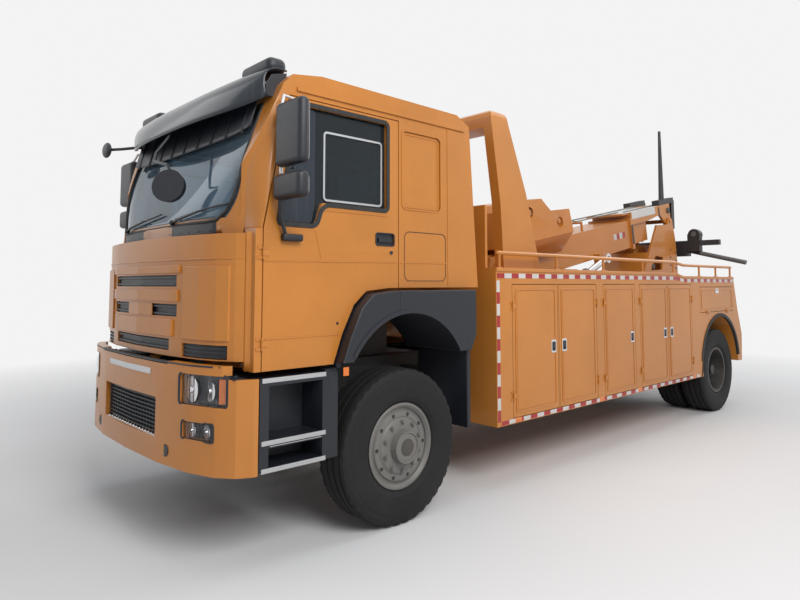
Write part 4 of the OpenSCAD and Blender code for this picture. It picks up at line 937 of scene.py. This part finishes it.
bm = bmesh.new()
for s in (1, -1):
    # Winch drums' bearing caps and their bolts
    for u, w, r in ((0.378, 0.508, 0.050), (0.933, 0.340, 0.042)):
        x = 0.601 if w > 0.4 else 0.561
        rod(bm, on_boom(s * (x - 0.05), u, w), on_boom(s * (x - 0.010), u, w), r, r * 0.9, 28)
        bolt_ring(bm, s * (x - 0.012), s * (x - 0.004), u, w, r * 0.7, 6, 0.006)
    boom_box(bm, s * 0.318, s * 0.328, 3.14, 3.19, -0.22, 0.05)
piece(bm, "winch_bearings", "boom", "black_steel", smooth=35)
bm = bmesh.new()
red_marks = bmesh.new()
for s in (1, -1):
    for k in range(4):
        u = 2.66 + 0.08 * k
        boom_box(red_marks if k % 2 else bm, s * 0.3005, s * 0.3020, u, u + 0.08, -0.10, -0.02)
piece(bm, "boom_marks_white", "boom", "white_tape", smooth=0)
piece(red_marks, "boom_marks_red", "boom", "red_tape", smooth=0)
bm = bmesh.new()
for x in (-0.12, 0.12):
    run = ((0.80, 0.46), (1.29, 0.395), (2.05, 0.245), (3.19, 0.240))
    tube(bm, [on_boom(x, u, w) for u, w in run], 0.009, 10)
piece(bm, "winch_ropes", "boom", "rope", smooth=50)
bm = bmesh.new()
for x in (-0.18, 0.18):
    tube(bm, [on_boom(x, 3.24, 0.232), on_boom(x, 4.16, 0.234), on_boom(x, 4.40, 0.205)], 0.009, 10)
piece(bm, "head_ropes", "boom_extension", "rope", smooth=50)
bm = bmesh.new()
for s in (1, -1):
    boom_box(bm, s * 0.2995, s * 0.3045, 3.24, 3.98, 0.120, 0.2235)
boom_box(bm, -0.292, 0.292, 3.06, 4.10, 0.2232, 0.2262)
piece(bm, "head_plate_white", "boom_extension", "white", edge=0.001)
bm = bmesh.new()
for s in (1, -1):
    for u, w, r in ((4.42, 0.120, 0.046), (4.390, -0.043, 0.052)):
        rod(bm, on_boom(s * 0.3005, u, w), on_boom(s * 0.318, u, w), r, r * 0.92, 28)
        bolt_ring(bm, s * 0.318, s * 0.323, u, w, r * 0.62, 4, 0.007)
    boom_box(bm, s * 0.3035, s * 0.307, 4.10, 4.13, 0.05, 0.20)
piece(bm, "head_pin_caps", "boom_extension", "cast", smooth=35)
bm = bmesh.new()
for s in (1, -1):
    spots = [(5.62 + 0.11 * k, 1.50) for k in range(10)]
    spots += [(y, z + 0.12 * k) for k in range(6) for y, z in ((6.44, 1.62), (6.63, 1.58))]
    for y, z in spots:
        rod(bm, (s * 0.3345, y, z), (s * 0.343, y, z), 0.013, 0.012, 6)
    rod(bm, (s * 0.3345, 5.85, 1.95), (s * 0.345, 5.85, 1.95), 0.04, 0.036, 24)
piece(bm, "mast_bolts", "mast", "cast", smooth=35)
bm = bmesh.new()
for s in (1, -1):
    rod(bm, (s * 0.520, 6.862, 2.470), (s * 0.520, 6.872, 2.470), 0.040, 0.040, 28)
    rod(bm, (s * 0.520, 6.988, 2.470), (s * 0.520, 6.994, 2.470), 0.040, 0.038, 28)
    tube(bm, [(s * 0.600, 6.93, 2.168), (s * 0.900, 6.93, 2.093), (s * 1.235, 6.93, 2.009)], 0.034, 20)
piece(bm, "crossbar_collars", "crossbar", "cylinder", smooth=35)

# Seat cushions and bunk, softened over their own blocks
def leaned(bm, out):
    """Tilts a rounded block back with the seat it belongs to."""
    vs = list({v for f in out["faces"] for v in f.verts})
    turn = Matrix.Rotation(math.radians(-12), 3, "X")
    bmesh.ops.rotate(bm, cent=(0, -0.08 + AXLE, 1.985), matrix=turn, verts=vs)


bm = bmesh.new()
for s in (1, -1):
    rounded(bm, box(bm, s * 0.492, s * 0.958, -0.555, -0.085, 1.735, 1.985), 0.045, 4)
    leaned(bm, rounded(bm, box(bm, s * 0.492, s * 0.958, -0.190, -0.090, 1.985, 2.560), 0.045, 4))
    leaned(bm, rounded(bm, box(bm, s * 0.645, s * 0.805, -0.18, -0.10, 2.590, 2.735), 0.03, 4))
rounded(bm, box(bm, -1.045, 1.045, 0.135, 0.765, 1.765, 1.980), 0.05, 4)
seats = piece(bm, "seat_cushions", "cab", "cloth", ("seats",), smooth=60)

# ---- camera, floor and light ----

def camera():
    lens, az, pitch = 28.0, math.radians(47.19), math.radians(4.16)
    ahead = Vector((-math.sin(az) * math.cos(pitch), math.cos(az) * math.cos(pitch), math.sin(pitch)))
    data = bpy.data.cameras.new("camera")
    data.sensor_width, data.lens = 36.0, lens
    data.shift_x, data.shift_y = 0.0027, -0.0763
    o = bpy.data.objects.new("camera", data)
    o.location = (4.483, -3.091 + AXLE, 1.689)
    o.rotation_mode = "QUATERNION"
    o.rotation_quaternion = ahead.to_track_quat("-Z", "Y")
    bpy.context.scene.collection.objects.link(o)
    bpy.context.scene.camera = o


def area(name, where, size, power, target=(0, 0, 1.4)):
    data = bpy.data.lights.new(name, "AREA")
    data.shape, data.size, data.size_y, data.energy = "RECTANGLE", size[0], size[1], power
    o = bpy.data.objects.new(name, data)
    o.location = where
    o.rotation_mode = "QUATERNION"
    o.rotation_quaternion = (Vector(target) - Vector(where)).to_track_quat("-Z", "Y")
    bpy.context.scene.collection.objects.link(o)


def seen_ray(t):
    """1 for what the camera sees straight, through glass or in gloss."""
    path = t.nodes.new("ShaderNodeLightPath")
    total = path.outputs["Is Camera Ray"]
    for k in ("Is Glossy Ray", "Is Transmission Ray"):
        total = add(t, "ShaderNodeMath", _operation="MAXIMUM", i0=total, i1=path.outputs[k]).outputs[0]
    return total


def pale_floor():
    """Matt floor round the truck that fades into the plain backdrop."""
    m = bpy.data.materials.new("pale floor")
    m.use_nodes = True
    t = m.node_tree
    b = t.nodes["Principled BSDF"]
    b.inputs["Roughness"].default_value = 0.9
    b.inputs["Specular IOR Level"].default_value = 0.1
    where = add(t, "ShaderNodeTexCoord").outputs["Object"]
    n = add(t, "ShaderNodeTexNoise", Vector=where, Scale=0.8, Detail=5.0).outputs["Fac"]
    c = add(t, "ShaderNodeMix", _data_type="RGBA", i0=n, i6=(0.74, 0.74, 0.74, 1),
        i7=(0.78, 0.78, 0.78, 1)).outputs[2]
    t.links.new(c, b.inputs["Base Color"])
    far = add(t, "ShaderNodeVectorMath", _operation="LENGTH", i0=where).outputs["Value"]
    far = add(t, "ShaderNodeMapRange", Value=far, From_Min=5.0, From_Max=11.0).outputs[0]
    fade = add(t, "ShaderNodeMath", _operation="MULTIPLY", i0=far, i1=seen_ray(t)).outputs[0]
    glow = add(t, "ShaderNodeEmission", Color=GREY).outputs[0]
    mix = add(t, "ShaderNodeMixShader", i0=fade, i1=b.outputs[0], i2=glow).outputs[0]
    t.links.new(mix, t.nodes["Material Output"].inputs["Surface"])
    return m


camera()
bm = bmesh.new()
bmesh.ops.create_grid(bm, x_segments=4, y_segments=4, size=60)
mesh = bpy.data.meshes.new("floor")
bm.to_mesh(mesh)
bm.free()
floor = bpy.data.objects.new("floor", mesh)
mesh.materials.append(pale_floor())
bpy.context.scene.collection.objects.link(floor)
area("key", (9.0, -4.5, 7.5), (5, 5), 800, (0.6, -2.2, 1.6))
area("fill", (-7.0, -9.0, 6.0), (7, 7), 160)
area("rim", (3.0, 10.0, 8.0), (8, 6), 330)
area("top", (0, 0, 10.5), (8, 12), 300)
world = bpy.data.worlds.new("studio")
bpy.context.scene.world = world
world.use_nodes = True
wt = world.node_tree
shown = wt.nodes["Background"]
shown.inputs["Color"].default_value = (0.80, 0.83, 0.88, 1)
shown.inputs["Strength"].default_value = 0.36
plain = add(wt, "ShaderNodeBackground", Color=GREY).outputs[0]
both = add(wt, "ShaderNodeMixShader", i0=seen_ray(wt), i1=shown.outputs[0], i2=plain).outputs[0]
wt.links.new(both, wt.nodes["World Output"].inputs["Surface"])
bpy.context.scene.view_settings.view_transform = "Standard"
